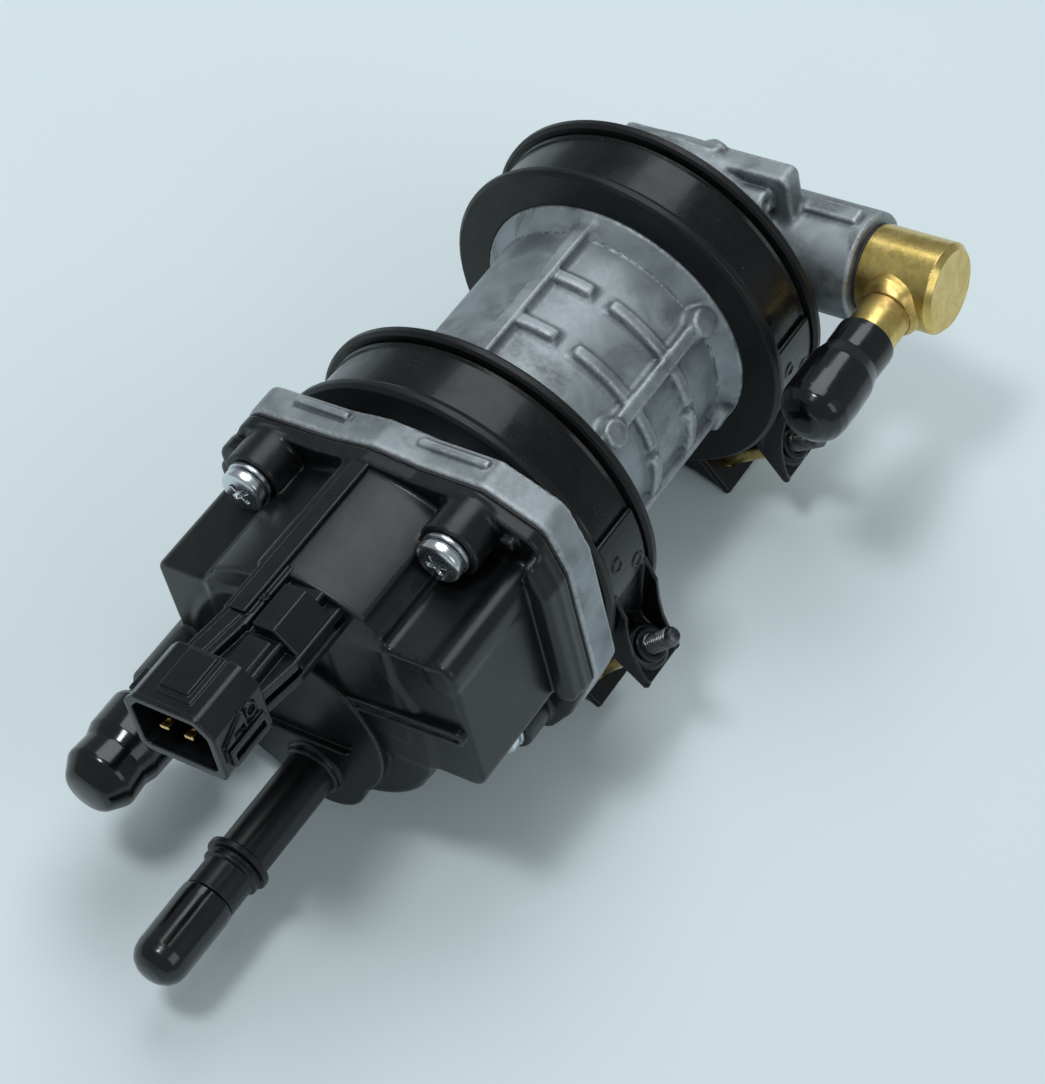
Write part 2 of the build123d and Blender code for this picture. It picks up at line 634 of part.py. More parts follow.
    extrude(amount=SOCKET_FLOOR - CONNECTOR_FRONT, mode=Mode.SUBTRACT)
    for point in SCREW_POINTS:
        rod(SCREW_RADIUS + SCREW_PLAY, BOSS_FRONT, COVER_BACK, at=point, mode=Mode.SUBTRACT)
    for pin_x in PIN_PLACES:
        with BuildSketch(cross_plane(PIN_BACK)):
            with Locations((pin_x, PIN_HEIGHT)):
                Rectangle(PIN_WIDTH + 2 * FIT, PIN_THICKNESS + 2 * FIT)
        extrude(amount=PIN_BACK - SOCKET_FLOOR, mode=Mode.SUBTRACT)
        with BuildSketch(cross_plane(PIN_BACK)):
            with Locations((pin_x, (PIN_HEIGHT + PIN_LEG_END) / 2)):
                Rectangle(PIN_WIDTH + 2 * FIT, PIN_HEIGHT - PIN_LEG_END + PIN_THICKNESS)
        extrude(amount=PIN_THICKNESS + FIT, mode=Mode.SUBTRACT)
        rod(LEAD_RADIUS + SLIDING, PIN_BACK, COVER_BACK, at=(pin_x, PIN_LEG_END + LEAD_RADIUS),
            mode=Mode.SUBTRACT)
keep(cover, "cover")

# Rubber isolators, one under each clamp
for place, centre in (("front", FRONT_CLAMP_Y), ("rear", REAR_CLAMP_Y)):
    lip = ISOLATOR_WIDTH / 2
    groove = ISOLATOR_WIDTH / 2 - ISOLATOR_LIP
    with BuildPart() as isolator:
        with BuildSketch(Plane.XY):
            with BuildLine():
                Polyline(
                    (SEAT_RADIUS + FIT, centre - lip),
                    (ISOLATOR_RADIUS - ISOLATOR_BEVEL, centre - lip),
                    (ISOLATOR_RADIUS, centre - lip + ISOLATOR_BEVEL),
                    (ISOLATOR_RADIUS, centre - groove),
                    (GROOVE_RADIUS, centre - groove),
                    (GROOVE_RADIUS, centre + groove),
                    (ISOLATOR_RADIUS, centre + groove),
                    (ISOLATOR_RADIUS, centre + lip - ISOLATOR_BEVEL),
                    (ISOLATOR_RADIUS - ISOLATOR_BEVEL, centre + lip),
                    (SEAT_RADIUS + FIT, centre + lip),
                    close=True,
                )
            make_face()
        revolve(axis=PUMP_AXIS)
    keep(isolator, place + "_isolator")

# Clamps: band with two welded, gusseted ears, and the bolt that draws the ears together
BAND_INNER = GROOVE_RADIUS + FIT
BAND_OUTER = BAND_INNER + BAND_THICKNESS
TAB_OUTER = BAND_OUTER + EAR_THICKNESS
EAR_OUTER_GAP = EAR_HALF_GAP + EAR_THICKNESS
for place, centre, ear_angle in (
    ("front", FRONT_CLAMP_Y, FRONT_EAR_ANGLE),
    ("rear", REAR_CLAMP_Y, REAR_EAR_ANGLE),
):
    end_x = cos(radians(EAR_TAB_END))
    end_y = sin(radians(EAR_TAB_END))
    foot_x = cos(radians(GUSSET_FOOT))
    foot_y = sin(radians(GUSSET_FOOT))
    band_face = cross_plane(centre + BAND_WIDTH / 2, ear_angle)
    with BuildPart() as band:
        with BuildSketch(axial_plane(ear_angle + EAR_TAB_END)) as strip:
            with Locations(((BAND_INNER + BAND_OUTER) / 2, centre)):
                Rectangle(BAND_THICKNESS, BAND_WIDTH)
        revolve(strip.sketch, axis=FORWARD_AXIS, revolution_arc=360 - 2 * EAR_TAB_END)
        for first in (EAR_TAB_END, 360 - EAR_TAB_START):
            with BuildSketch(axial_plane(ear_angle + first)) as tab:
                with Locations(((BAND_OUTER + TAB_OUTER) / 2, centre)):
                    Rectangle(EAR_THICKNESS, BAND_WIDTH)
            revolve(tab.sketch, axis=FORWARD_AXIS, revolution_arc=EAR_TAB_START - EAR_TAB_END)
        for side in (1, -1):
            with BuildSketch(band_face) as ear:
                with BuildLine():
                    Polyline(
                        (BAND_INNER * end_x, side * BAND_INNER * end_y),
                        (TAB_OUTER * end_x, side * TAB_OUTER * end_y),
                        (EAR_KNEE, side * EAR_OUTER_GAP),
                        (EAR_TIP, side * EAR_OUTER_GAP),
                        (EAR_TIP, side * EAR_HALF_GAP),
                        (EAR_KNEE - EAR_THICKNESS / 2, side * EAR_HALF_GAP),
                        close=True,
                    )
                make_face()
            extrude(ear.sketch, amount=BAND_WIDTH)
            for gusset_y in (centre + BAND_WIDTH / 2, centre - BAND_WIDTH / 2 + GUSSET_THICKNESS):
                with BuildSketch(cross_plane(gusset_y, ear_angle)) as gusset:
                    with BuildLine():
                        Polyline(
                            (BAND_INNER * end_x, side * BAND_INNER * end_y),
                            (TAB_OUTER * foot_x, side * TAB_OUTER * foot_y),
                            *((EAR_KNEE + out, side * (EAR_OUTER_GAP + rise)) for out, rise in GUSSET_EDGE),
                            (EAR_TIP, side * EAR_OUTER_GAP),
                            (EAR_TIP, side * EAR_HALF_GAP),
                            (EAR_KNEE - EAR_THICKNESS / 2, side * EAR_HALF_GAP),
                            close=True,
                        )
                    make_face()
                extrude(gusset.sketch, amount=GUSSET_THICKNESS)
        with BuildSketch(bolt_plane(centre, ear_angle, -EAR_OUTER_GAP)) as bolt_holes:
            Circle(BOLT_RADIUS + SLIDING)
        extrude(bolt_holes.sketch, amount=2 * EAR_OUTER_GAP, mode=Mode.SUBTRACT)
    keep(band, place + "_band")

    with BuildPart() as bolt:
        with BuildSketch(bolt_plane(centre, ear_angle, -EAR_OUTER_GAP)):
            RegularPolygon(BOLT_HEAD_RADIUS, 6, rotation=BOLT_HEAD_TURN)
        extrude(amount=-BOLT_HEAD_HEIGHT)
        with BuildSketch(bolt_plane(centre, ear_angle, -EAR_OUTER_GAP)):
            Circle(SHANK_RADIUS)
        extrude(amount=EAR_OUTER_GAP + BOLT_TIP)
        with BuildSketch(bolt_plane(centre, ear_angle, EAR_HALF_GAP - THREAD_LEAD)):
            Circle(BOLT_RADIUS)
        extrude(amount=EAR_OUTER_GAP + NUT_HEIGHT - EAR_HALF_GAP + THREAD_LEAD)
        with BuildSketch(bolt_plane(centre, ear_angle, EAR_OUTER_GAP + NUT_HEIGHT)):
            Circle(BOLT_POINT_RADIUS)
        extrude(amount=BOLT_TIP - EAR_OUTER_GAP - NUT_HEIGHT)
    keep(bolt, place + "_bolt")

    with BuildPart() as nut:
        with BuildSketch(bolt_plane(centre, ear_angle, EAR_OUTER_GAP)):
            Circle(NUT_RADIUS)
            Circle(BOLT_RADIUS + FIT, mode=Mode.SUBTRACT)
        extrude(amount=NUT_FLANGE)
        with BuildSketch(bolt_plane(centre, ear_angle, EAR_OUTER_GAP)):
            Circle(NUT_COLLAR_RADIUS)
            Circle(BOLT_RADIUS + FIT, mode=Mode.SUBTRACT)
        extrude(amount=NUT_HEIGHT)
    keep(nut, place + "_nut")

# Screws that hold the cover, with their captive washers
with BuildPart() as cover_screws:
    for point in SCREW_POINTS:
        rod(SCREW_HEAD_RADIUS, BOSS_FRONT - WASHER_THICKNESS - SCREW_HEAD_HEIGHT,
            BOSS_FRONT - WASHER_THICKNESS, at=point)
        rod(SCREW_RADIUS, BOSS_FRONT - WASHER_THICKNESS, SCREW_END, at=point)
    head_rims = cover_screws.edges().filter_by(GeomType.CIRCLE).group_by(Axis.Y)[0]
    fillet(head_rims, radius=HEAD_ROUND)
keep(cover_screws, "cover_screws")

with BuildPart() as screw_washers:
    for point in SCREW_POINTS:
        tube(SCREW_RADIUS + FIT, WASHER_RADIUS, BOSS_FRONT - WASHER_THICKNESS, BOSS_FRONT, at=point)
keep(screw_washers, "screw_washers")

# Terminals: two brass blades that turn inwards behind the connector, and the leads to the motor
with BuildPart() as terminal_pins:
    for pin_x in PIN_PLACES:
        with BuildSketch(cross_plane(PIN_BACK)) as blade:
            with Locations((pin_x, PIN_HEIGHT)):
                Rectangle(PIN_WIDTH, PIN_THICKNESS)
        extrude(blade.sketch, amount=PIN_BACK - PIN_FRONT)
        with BuildSketch(cross_plane(PIN_BACK)) as leg:
            with Locations((pin_x, (PIN_HEIGHT + PIN_LEG_END) / 2)):
                Rectangle(PIN_WIDTH, PIN_HEIGHT - PIN_LEG_END)
        extrude(leg.sketch, amount=PIN_THICKNESS)
keep(terminal_pins, "terminal_pins")

with BuildPart() as motor_leads:
    for pin_x in PIN_PLACES:
        rod(LEAD_RADIUS, PIN_BACK, CASE_FRONT, at=(pin_x, PIN_LEG_END + LEAD_RADIUS))
keep(motor_leads, "motor_leads")

# Brass elbow: turned body with a plug in the port, brazed side tube, and the seal between body and port
ELBOW_FACE = PORT_END + ELBOW_SEAL
with BuildPart() as elbow_body:
    with BuildSketch(port_plane(ELBOW_FACE)):
        Circle(ELBOW_RADIUS)
    extrude(amount=ELBOW_END - ELBOW_FACE)
    outer_rim = elbow_body.edges().filter_by(GeomType.CIRCLE).sort_by(Axis.X)[-1]
    chamfer(outer_rim, length=ELBOW_CHAMFER)
    with BuildSketch(port_plane(PORT_END - ELBOW_PLUG)):
        Circle(PORT_BORE)
    extrude(amount=ELBOW_PLUG + ELBOW_SEAL)
    with BuildSketch(port_plane(PORT_END - ELBOW_PLUG)):
        Circle(ELBOW_PASSAGE)
    extrude(amount=ELBOW_TUBE_AT - PORT_END + ELBOW_PLUG + ELBOW_PASSAGE, mode=Mode.SUBTRACT)
    rod(ELBOW_TUBE_BORE, PORT_Y - ELBOW_RADIUS, PORT_Y, at=(ELBOW_TUBE_AT, 0), mode=Mode.SUBTRACT)
    rod(ELBOW_TUBE_RADIUS + FIT, PORT_Y - ELBOW_RADIUS, PORT_Y - ELBOW_SOCKET,
        at=(ELBOW_TUBE_AT, 0), mode=Mode.SUBTRACT)
keep(elbow_body, "elbow_body")

with BuildPart() as elbow_seal:
    with BuildSketch(port_plane(PORT_END)):
        Circle(ELBOW_RADIUS - ELBOW_SEAL_INSET)
        Circle(PORT_BORE + FIT, mode=Mode.SUBTRACT)
    extrude(amount=ELBOW_SEAL)
keep(elbow_seal, "elbow_seal")

with BuildPart() as elbow_tube:
    tube(ELBOW_TUBE_BORE, ELBOW_TUBE_RADIUS, ELBOW_TUBE_END, PORT_Y - ELBOW_SOCKET, at=(ELBOW_TUBE_AT, 0))
keep(elbow_tube, "elbow_tube")

with BuildPart() as elbow_braze:
    tube(ELBOW_TUBE_RADIUS + FIT, BRAZE_RADIUS, PORT_Y - ELBOW_RADIUS - BRAZE_REACH, PORT_Y - ELBOW_SOCKET,
         at=(ELBOW_TUBE_AT, 0))
    with BuildSketch(port_plane(PORT_END)) as body_section:
        Circle(ELBOW_RADIUS)
    extrude(body_section.sketch, amount=ELBOW_END - PORT_END, mode=Mode.SUBTRACT)
keep(elbow_braze, "elbow_braze")

# Push-on vinyl caps over the three open tubes
with BuildPart() as outlet_cap:
    cap_end = OUTLET_END - CAP_END_WALL
    rod(OUTLET_CAP_RADIUS, cap_end, OUTLET_CAP_MOUTH, at=OUTLET_AT)
    fillet(outlet_cap.edges().filter_by(GeomType.CIRCLE).sort_by(Axis.Y)[0], radius=OUTLET_CAP_ROUND)
    rod(OUTLET_RADIUS + SLIDING, OUTLET_END, OUTLET_CAP_MOUTH, at=OUTLET_AT, mode=Mode.SUBTRACT)
keep(outlet_cap, "outlet_cap")

with BuildPart() as return_cap:
    cap_end = RETURN_END - CAP_END_WALL
    rod(RETURN_CAP_RADIUS, cap_end, RETURN_CAP_MOUTH, at=RETURN_AT)
    fillet(return_cap.edges().filter_by(GeomType.CIRCLE).sort_by(Axis.Y)[0], radius=RETURN_CAP_ROUND)
    rod(RETURN_BEAD_RADIUS + SLIDING, RETURN_BEAD_Y - RETURN_CAP_GRIP, RETURN_CAP_MOUTH, at=RETURN_AT,
        mode=Mode.SUBTRACT)
    rod(RETURN_RADIUS + SLIDING, RETURN_END, RETURN_CAP_MOUTH, at=RETURN_AT, mode=Mode.SUBTRACT)
keep(return_cap, "return_cap")

with BuildPart() as inlet_cap:
    cap_end = ELBOW_TUBE_END - CAP_END_WALL
    rod(INLET_CAP_NECK, cap_end, INLET_CAP_MOUTH, at=(ELBOW_TUBE_AT, 0))
    rod(INLET_CAP_RADIUS, cap_end, INLET_CAP_BULGE_END, at=(ELBOW_TUBE_AT, 0))
    fillet(inlet_cap.edges().filter_by(GeomType.CIRCLE).sort_by(Axis.Y)[0], radius=INLET_CAP_ROUND)
    rod(ELBOW_TUBE_RADIUS + SLIDING, ELBOW_TUBE_END, INLET_CAP_MOUTH, at=(ELBOW_TUBE_AT, 0),
        mode=Mode.SUBTRACT)
keep(inlet_cap, "inlet_cap")

# Pump cartridge: rubber sleeve, steel case, end bell with brush guides, and the two pump plates
CASE_INNER = CASE_RADIUS - CASE_WALL
INSERT_RADIUS = CASE_INNER - FIT
with BuildPart() as cartridge_sleeve:
    ring(CASE_RADIUS + FIT, CAVITY_RADIUS - FIT, SLEEVE_FRONT, SLEEVE_REAR)
keep(cartridge_sleeve, "cartridge_sleeve")

with BuildPart() as cartridge_case:
    ring(CASE_INNER, CASE_RADIUS, CASE_FRONT, CASE_REAR)
keep(cartridge_case, "cartridge_case")

with BuildPart() as end_bell:
    rod(INSERT_RADIUS, CASE_FRONT, BELL_REAR)
    rod(NIPPLE_RADIUS, NIPPLE_FRONT, CASE_FRONT, at=NIPPLE_AT)
    with BuildSketch(cross_plane(BRUSH_Y + GUIDE_SIZE / 2)):
        Rectangle(2 * GUIDE_REACH, GUIDE_SIZE)
        Rectangle(2 * (COMMUTATOR_RADIUS + GUIDE_CLEARANCE), GUIDE_SIZE, mode=Mode.SUBTRACT)
    extrude(amount=BRUSH_Y + GUIDE_SIZE / 2 - BELL_REAR)
    with BuildSketch(cross_plane(BRUSH_Y + BRUSH_SIZE / 2 + FIT)):
        Rectangle(2 * (GUIDE_REACH - GUIDE_WALL), BRUSH_SIZE + 2 * FIT)
    extrude(amount=BRUSH_SIZE + 2 * FIT, mode=Mode.SUBTRACT)
    rod(BUSH_RADIUS + FIT, BELL_REAR - BUSH_LENGTH, BELL_REAR, mode=Mode.SUBTRACT)
    rod(SHAFT_RADIUS + 2 * FIT, SHAFT_FRONT - SLIDING, BELL_REAR, mode=Mode.SUBTRACT)
    rod(CHECK_PORT_RADIUS, NIPPLE_FRONT, BELL_REAR, at=NIPPLE_AT, mode=Mode.SUBTRACT)
    rod(NIPPLE_BORE, NIPPLE_FRONT, CHECK_SEAT_Y, at=NIPPLE_AT, mode=Mode.SUBTRACT)
keep(end_bell, "end_bell")

with BuildPart() as outlet_plate:
    rod(INSERT_RADIUS, PUMP_PLATE_FRONT, PUMP_PLATE_FACE)
    ring(IMPELLER_RADIUS + 2 * IMPELLER_CLEARANCE, INSERT_RADIUS, PUMP_PLATE_FACE, INLET_PLATE_FACE)
    rod(BUSH_RADIUS + FIT, PUMP_PLATE_FRONT, PUMP_PLATE_FRONT + BUSH_LENGTH, mode=Mode.SUBTRACT)
    rod(SHAFT_RADIUS + 2 * FIT, PUMP_PLATE_FRONT, PUMP_PLATE_FACE, mode=Mode.SUBTRACT)
    rod(PLATE_PORT_RADIUS, PUMP_PLATE_FRONT, PUMP_PLATE_FACE, at=(0, -PLATE_PORT_REACH), mode=Mode.SUBTRACT)
keep(outlet_plate, "outlet_plate")

with BuildPart() as inlet_plate:
    rod(INSERT_RADIUS, INLET_PLATE_FACE, CASE_REAR)
    rod(SHAFT_RADIUS + 2 * FIT, INLET_PLATE_FACE, SHAFT_REAR + SLIDING, mode=Mode.SUBTRACT)
    rod(PLATE_PORT_RADIUS, INLET_PLATE_FACE, CASE_REAR, at=(0, PLATE_PORT_REACH), mode=Mode.SUBTRACT)
keep(inlet_plate, "inlet_plate")

with BuildPart() as strainer:
    tube(STRAINER_RADIUS - STRAINER_WALL, STRAINER_RADIUS, CASE_REAR, CASE_REAR + STRAINER_LENGTH)
    rod(STRAINER_RADIUS, CASE_REAR + STRAINER_LENGTH, CASE_REAR + STRAINER_LENGTH + STRAINER_WALL)
keep(strainer, "strainer")

with BuildPart() as magnets:
    for middle in MAGNET_ANGLES:
        with BuildSketch(axial_plane(casting_angle(middle - MAGNET_SWEEP / 2))) as block:
            with Locations(((MAGNET_INNER + INSERT_RADIUS) / 2, (MAGNET_FRONT + MAGNET_REAR) / 2)):
                Rectangle(INSERT_RADIUS - MAGNET_INNER, MAGNET_REAR - MAGNET_FRONT)
        revolve(block.sketch, axis=FORWARD_AXIS, revolution_arc=MAGNET_SWEEP)
keep(magnets, "magnets")

with BuildPart() as brushes:
    for side in (1, -1):
        with BuildSketch(cross_plane(BRUSH_Y + BRUSH_SIZE / 2)) as brush:
            with Locations((side * (COMMUTATOR_RADIUS + BRUSH_BACK) / 2, 0)):
                Rectangle(BRUSH_BACK - COMMUTATOR_RADIUS, BRUSH_SIZE)
            Circle(COMMUTATOR_RADIUS + BRUSH_GAP, mode=Mode.SUBTRACT)
        extrude(brush.sketch, amount=BRUSH_SIZE)
keep(brushes, "brushes")

with BuildPart() as brush_springs:
    for side in BRUSH_ANGLES:
        turn = radians(casting_angle(side))
        foot = (BRUSH_BACK * cos(turn), BRUSH_Y, BRUSH_BACK * sin(turn))
        start = Plane(origin=foot, x_dir=(0, 1, 0), z_dir=(cos(turn), 0, sin(turn)))
        spring(start, BRUSH_SPRING_RADIUS, GUIDE_REACH - GUIDE_WALL - BRUSH_BACK, BRUSH_SPRING_TURNS)
keep(brush_springs, "brush_springs")

for place, front in (("front", BELL_REAR - BUSH_LENGTH), ("rear", PUMP_PLATE_FRONT)):
    with BuildPart() as bush:
        ring(SHAFT_RADIUS + RUNNING, BUSH_RADIUS, front, front + BUSH_LENGTH)
    keep(bush, place + "_bush")

# Rotor: shaft, slotted core, windings, commutator and the vaned impeller turn together
with BuildPart() as shaft:
    rod(SHAFT_RADIUS, SHAFT_FRONT, SHAFT_REAR)
keep(shaft, "shaft")

with BuildPart() as armature_core:
    with BuildSketch(cross_plane(CORE_REAR)):
        Circle(CORE_RADIUS)
        Circle(SHAFT_RADIUS + FIT, mode=Mode.SUBTRACT)
        with PolarLocations(CORE_RADIUS, SLOT_COUNT):
            Rectangle(2 * SLOT_DEPTH, SLOT_WIDTH, mode=Mode.SUBTRACT)
    extrude(amount=CORE_REAR - CORE_FRONT)
keep(armature_core, "armature_core")

with BuildPart() as windings:
    tube(SHAFT_RADIUS + FIT, WINDING_RADIUS, CORE_FRONT - WINDING_LENGTH, CORE_FRONT)
    tube(SHAFT_RADIUS + FIT, WINDING_RADIUS, CORE_REAR, CORE_REAR + WINDING_LENGTH)
keep(windings, "windings")

with BuildPart() as commutator:
    tube(SHAFT_RADIUS + FIT, COMMUTATOR_RADIUS, COMMUTATOR_FRONT, COMMUTATOR_REAR)
keep(commutator, "commutator")

with BuildPart() as impeller:
    with BuildSketch(cross_plane(INLET_PLATE_FACE - IMPELLER_CLEARANCE)):
        Circle(IMPELLER_RADIUS)
        Circle(SHAFT_RADIUS + FIT, mode=Mode.SUBTRACT)
        with PolarLocations(IMPELLER_RADIUS, VANE_COUNT):
            Rectangle(2 * VANE_DEPTH, VANE_GAP, mode=Mode.SUBTRACT)
    extrude(amount=INLET_PLATE_FACE - PUMP_PLATE_FACE - 2 * IMPELLER_CLEARANCE)
keep(impeller, "impeller")

# Check valve in the nipple of the end bell
CHECK_STOP_Y = CHECK_SEAT_Y - CHECK_HEAD - CHECK_SPRING_LENGTH
with BuildPart() as check_valve:
    rod(NIPPLE_BORE - CHECK_PLAY, CHECK_SEAT_Y - CHECK_HEAD, CHECK_SEAT_Y, at=NIPPLE_AT)
    rod(CHECK_STEM_RADIUS, CHECK_SEAT_Y - CHECK_HEAD - CHECK_STEM, CHECK_SEAT_Y, at=NIPPLE_AT)
keep(check_valve, "check_valve")

with BuildPart() as check_spring:
    spring(cross_plane(CHECK_SEAT_Y - CHECK_HEAD), CHECK_SPRING_RADIUS, CHECK_SPRING_LENGTH,
           CHECK_SPRING_TURNS, at=NIPPLE_AT)
keep(check_spring, "check_spring")

with BuildPart() as check_stop:
    tube(CHECK_STEM_RADIUS + 2 * SLIDING, NIPPLE_BORE - FIT, CHECK_STOP_Y - STOP_THICKNESS, CHECK_STOP_Y,
         at=NIPPLE_AT)
keep(check_stop, "check_stop")

# Pressure regulator in the return boss of the cover
RETURN_HEAD_FRONT = RETURN_SEAT_Y - RETURN_SEAT_LENGTH - RETURN_HEAD
RETURN_STOP_Y = RETURN_HEAD_FRONT - RETURN_SPRING_LENGTH
with BuildPart() as regulator_seat:
    tube(RETURN_STEM_RADIUS + STEM_PLAY, RETURN_CHAMBER_RADIUS - FIT,
         RETURN_SEAT_Y - RETURN_SEAT_LENGTH, RETURN_SEAT_Y, at=RETURN_AT)
keep(regulator_seat, "regulator_seat")

with BuildPart() as regulator_valve:
    rod(RETURN_CHAMBER_RADIUS - RETURN_PLAY, RETURN_HEAD_FRONT, RETURN_HEAD_FRONT + RETURN_HEAD, at=RETURN_AT)
    rod(RETURN_STEM_RADIUS, RETURN_HEAD_FRONT - RETURN_STEM, RETURN_HEAD_FRONT, at=RETURN_AT)
keep(regulator_valve, "regulator_valve")

with BuildPart() as regulator_spring:
    spring(cross_plane(RETURN_HEAD_FRONT), RETURN_SPRING_RADIUS, RETURN_SPRING_LENGTH,
           RETURN_SPRING_TURNS, at=RETURN_AT)
keep(regulator_spring, "regulator_spring")

with BuildPart() as regulator_stop:
    tube(RETURN_STEM_RADIUS + STEM_PLAY, RETURN_CHAMBER_RADIUS - FIT, RETURN_STOP_Y - STOP_THICKNESS,
         RETURN_STOP_Y, at=RETURN_AT)
keep(regulator_stop, "regulator_stop")

# The pump is set down: the floor is at z = 0 and the origin is under the middle of its outline
os.makedirs("parts", exist_ok=True)
for piece in pieces:
    label = piece.label
    placed = piece.moved(Location((-OUTLINE_MIDDLE_X, -OUTLINE_MIDDLE_Y, ISOLATOR_RADIUS)))
    placed.label = label
    export_step(placed, f"parts/{label}.step")
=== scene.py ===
"""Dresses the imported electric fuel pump: castings, moulded cover, clamps, brass elbow and their finishes.

Every shape is worked out in millimetres in its sub-assembly's own frame, where y runs along the pump axis
and the cover points towards -y. A Placement then rolls it about the pump axis into the shared frame.
"""
from __future__ import annotations

import json
import logging
import math
from dataclasses import dataclass
from enum import Enum
from typing import Callable, Iterable, Sequence

import bpy
import numpy as np
from mathutils import Matrix, Vector

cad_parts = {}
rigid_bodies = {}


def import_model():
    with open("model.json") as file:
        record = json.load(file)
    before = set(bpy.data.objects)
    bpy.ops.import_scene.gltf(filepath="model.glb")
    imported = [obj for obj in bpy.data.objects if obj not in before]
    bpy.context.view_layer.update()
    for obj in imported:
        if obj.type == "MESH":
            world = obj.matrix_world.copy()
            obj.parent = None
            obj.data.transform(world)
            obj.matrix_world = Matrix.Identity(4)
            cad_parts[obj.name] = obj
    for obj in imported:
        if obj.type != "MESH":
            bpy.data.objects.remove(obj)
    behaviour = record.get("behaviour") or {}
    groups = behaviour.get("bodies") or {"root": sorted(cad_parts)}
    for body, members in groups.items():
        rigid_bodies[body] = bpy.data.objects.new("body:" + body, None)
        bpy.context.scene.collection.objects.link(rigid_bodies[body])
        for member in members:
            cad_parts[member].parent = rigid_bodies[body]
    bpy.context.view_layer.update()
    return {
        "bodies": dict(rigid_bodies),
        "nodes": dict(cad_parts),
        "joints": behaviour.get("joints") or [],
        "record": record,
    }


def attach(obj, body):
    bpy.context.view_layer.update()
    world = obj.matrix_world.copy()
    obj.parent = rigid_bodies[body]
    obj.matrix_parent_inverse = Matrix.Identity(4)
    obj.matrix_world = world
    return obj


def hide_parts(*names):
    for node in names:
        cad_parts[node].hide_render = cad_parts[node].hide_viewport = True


LOG = logging.getLogger("fuel_pump")
MM = 0.001

CASTING_ROLL = 18.8
PUMP_AXIS_AT = (-9.54, 32.95, 42.0)
FRONT_RING_Y = -29.1
REAR_RING_Y = 41.1
FRONT_EAR_ANGLE = -28.0
REAR_EAR_ANGLE = -39.0
# Shared by several sub-assemblies: x and z of the spigots, y of the port, x of the brass side tube
OUTLET_AT = (-4.4, -23.4)
RETURN_AT = (-29.7, -2.6)
PORT_Y = 68.4
TUBE_X = 55.0

Point = tuple[float, float]
Spot = tuple[float, float, float]
Colour = tuple[float, float, float]
Array = np.ndarray
Field = Callable[[Array], Array]
Warp = Callable[[Array, Array], Array]
Socket = bpy.types.NodeSocket

RIGHT: Spot = (1.0, 0.0, 0.0)
FORWARD: Spot = (0.0, -1.0, 0.0)
BACKWARD: Spot = (0.0, 1.0, 0.0)
UP: Spot = (0.0, 0.0, 1.0)


@dataclass(frozen=True)
class Placement:
    """Carries a sub-assembly's own millimetres into the shared frame."""

    roll: float = CASTING_ROLL

    def turn(self, vectors: Array) -> Array:
        """Rolls vectors about the pump axis, by the roll angle in the x-z plane.

        Args:
            vectors: One vector a row.

        Returns:
            The vectors in the shared frame.
        """
        angle = math.radians(self.roll)
        x, y, z = vectors.T
        return np.stack([x * math.cos(angle) - z * math.sin(angle), y,
                         x * math.sin(angle) + z * math.cos(angle)], axis=1)

    def place(self, points: Array) -> Array:
        """Rolls points, shifts them to the pump axis and returns them in metres."""
        return (self.turn(points) + np.array(PUMP_AXIS_AT)) * MM

    def spot(self, point: Sequence[float]) -> Spot:
        """Returns one point in the shared frame, in millimetres."""
        return tuple(float(value) for value in self.place(np.array([point], float))[0] / MM)

    def way(self, vector: Sequence[float]) -> Spot:
        """Returns one direction in the shared frame."""
        return tuple(float(value) for value in self.turn(np.array([vector], float))[0])


@dataclass
class Surface:
    """A closed surface: points, outward normals, faces, and how convex each point is."""

    points: Array
    normals: Array
    faces: list[Array]
    relief: Array

    @staticmethod
    def join(surfaces: Iterable["Surface"]) -> "Surface":
        """Puts several closed surfaces into one.

        Args:
            surfaces: The surfaces to put together.

        Returns:
            One surface that holds them all, side by side.
        """
        points, normals, faces, relief, count = [], [], [], [], 0
        for surface in surfaces:
            points.append(surface.points)
            normals.append(surface.normals)
            relief.append(surface.relief)
            faces += [block + count for block in surface.faces]
            count += len(surface.points)
        return Surface(np.concatenate(points), np.concatenate(normals), faces, np.concatenate(relief))

    def placed(self, placement: Placement) -> "Surface":
        """Returns the surface in the shared frame, in metres."""
        return Surface(placement.place(self.points), placement.turn(self.normals), self.faces, self.relief)

    def to_object(self, name: str, material: bpy.types.Material) -> bpy.types.Object:
        """Makes a mesh object of a surface that is already in the shared frame.

        Args:
            name: The piece's name.
            material: Its finish.

        Returns:
            The object, which sits at the origin with its place in its mesh.
        """
        mesh = bpy.data.meshes.new(name)
        corners = np.concatenate([block.ravel() for block in self.faces]).astype(np.int32)
        totals = np.concatenate([np.full(len(block), block.shape[1]) for block in self.faces])
        totals = totals.astype(np.int32)
        mesh.vertices.add(len(self.points))
        mesh.vertices.foreach_set("co", self.points.astype(np.float32).ravel())
        mesh.loops.add(len(corners))
        mesh.loops.foreach_set("vertex_index", corners)
        mesh.polygons.add(len(totals))
        starts = np.concatenate([[0], np.cumsum(totals)[:-1]]).astype(np.int32)
        mesh.polygons.foreach_set("loop_start", starts)
        mesh.polygons.foreach_set("loop_total", totals)
        relief = mesh.attributes.new("relief", "FLOAT", "POINT")
        relief.data.foreach_set("value", self.relief.astype(np.float32))
        mesh.update(calc_edges=True)
        mesh.validate()
        mesh.shade_smooth()
        mesh.normals_split_custom_set_from_vertices(self.normals.astype(np.float32))
        mesh.materials.append(material)
        piece = bpy.data.objects.new(name, mesh)
        bpy.context.scene.collection.objects.link(piece)
        return piece


# Signed distances, in millimetres: below zero inside, above zero outside


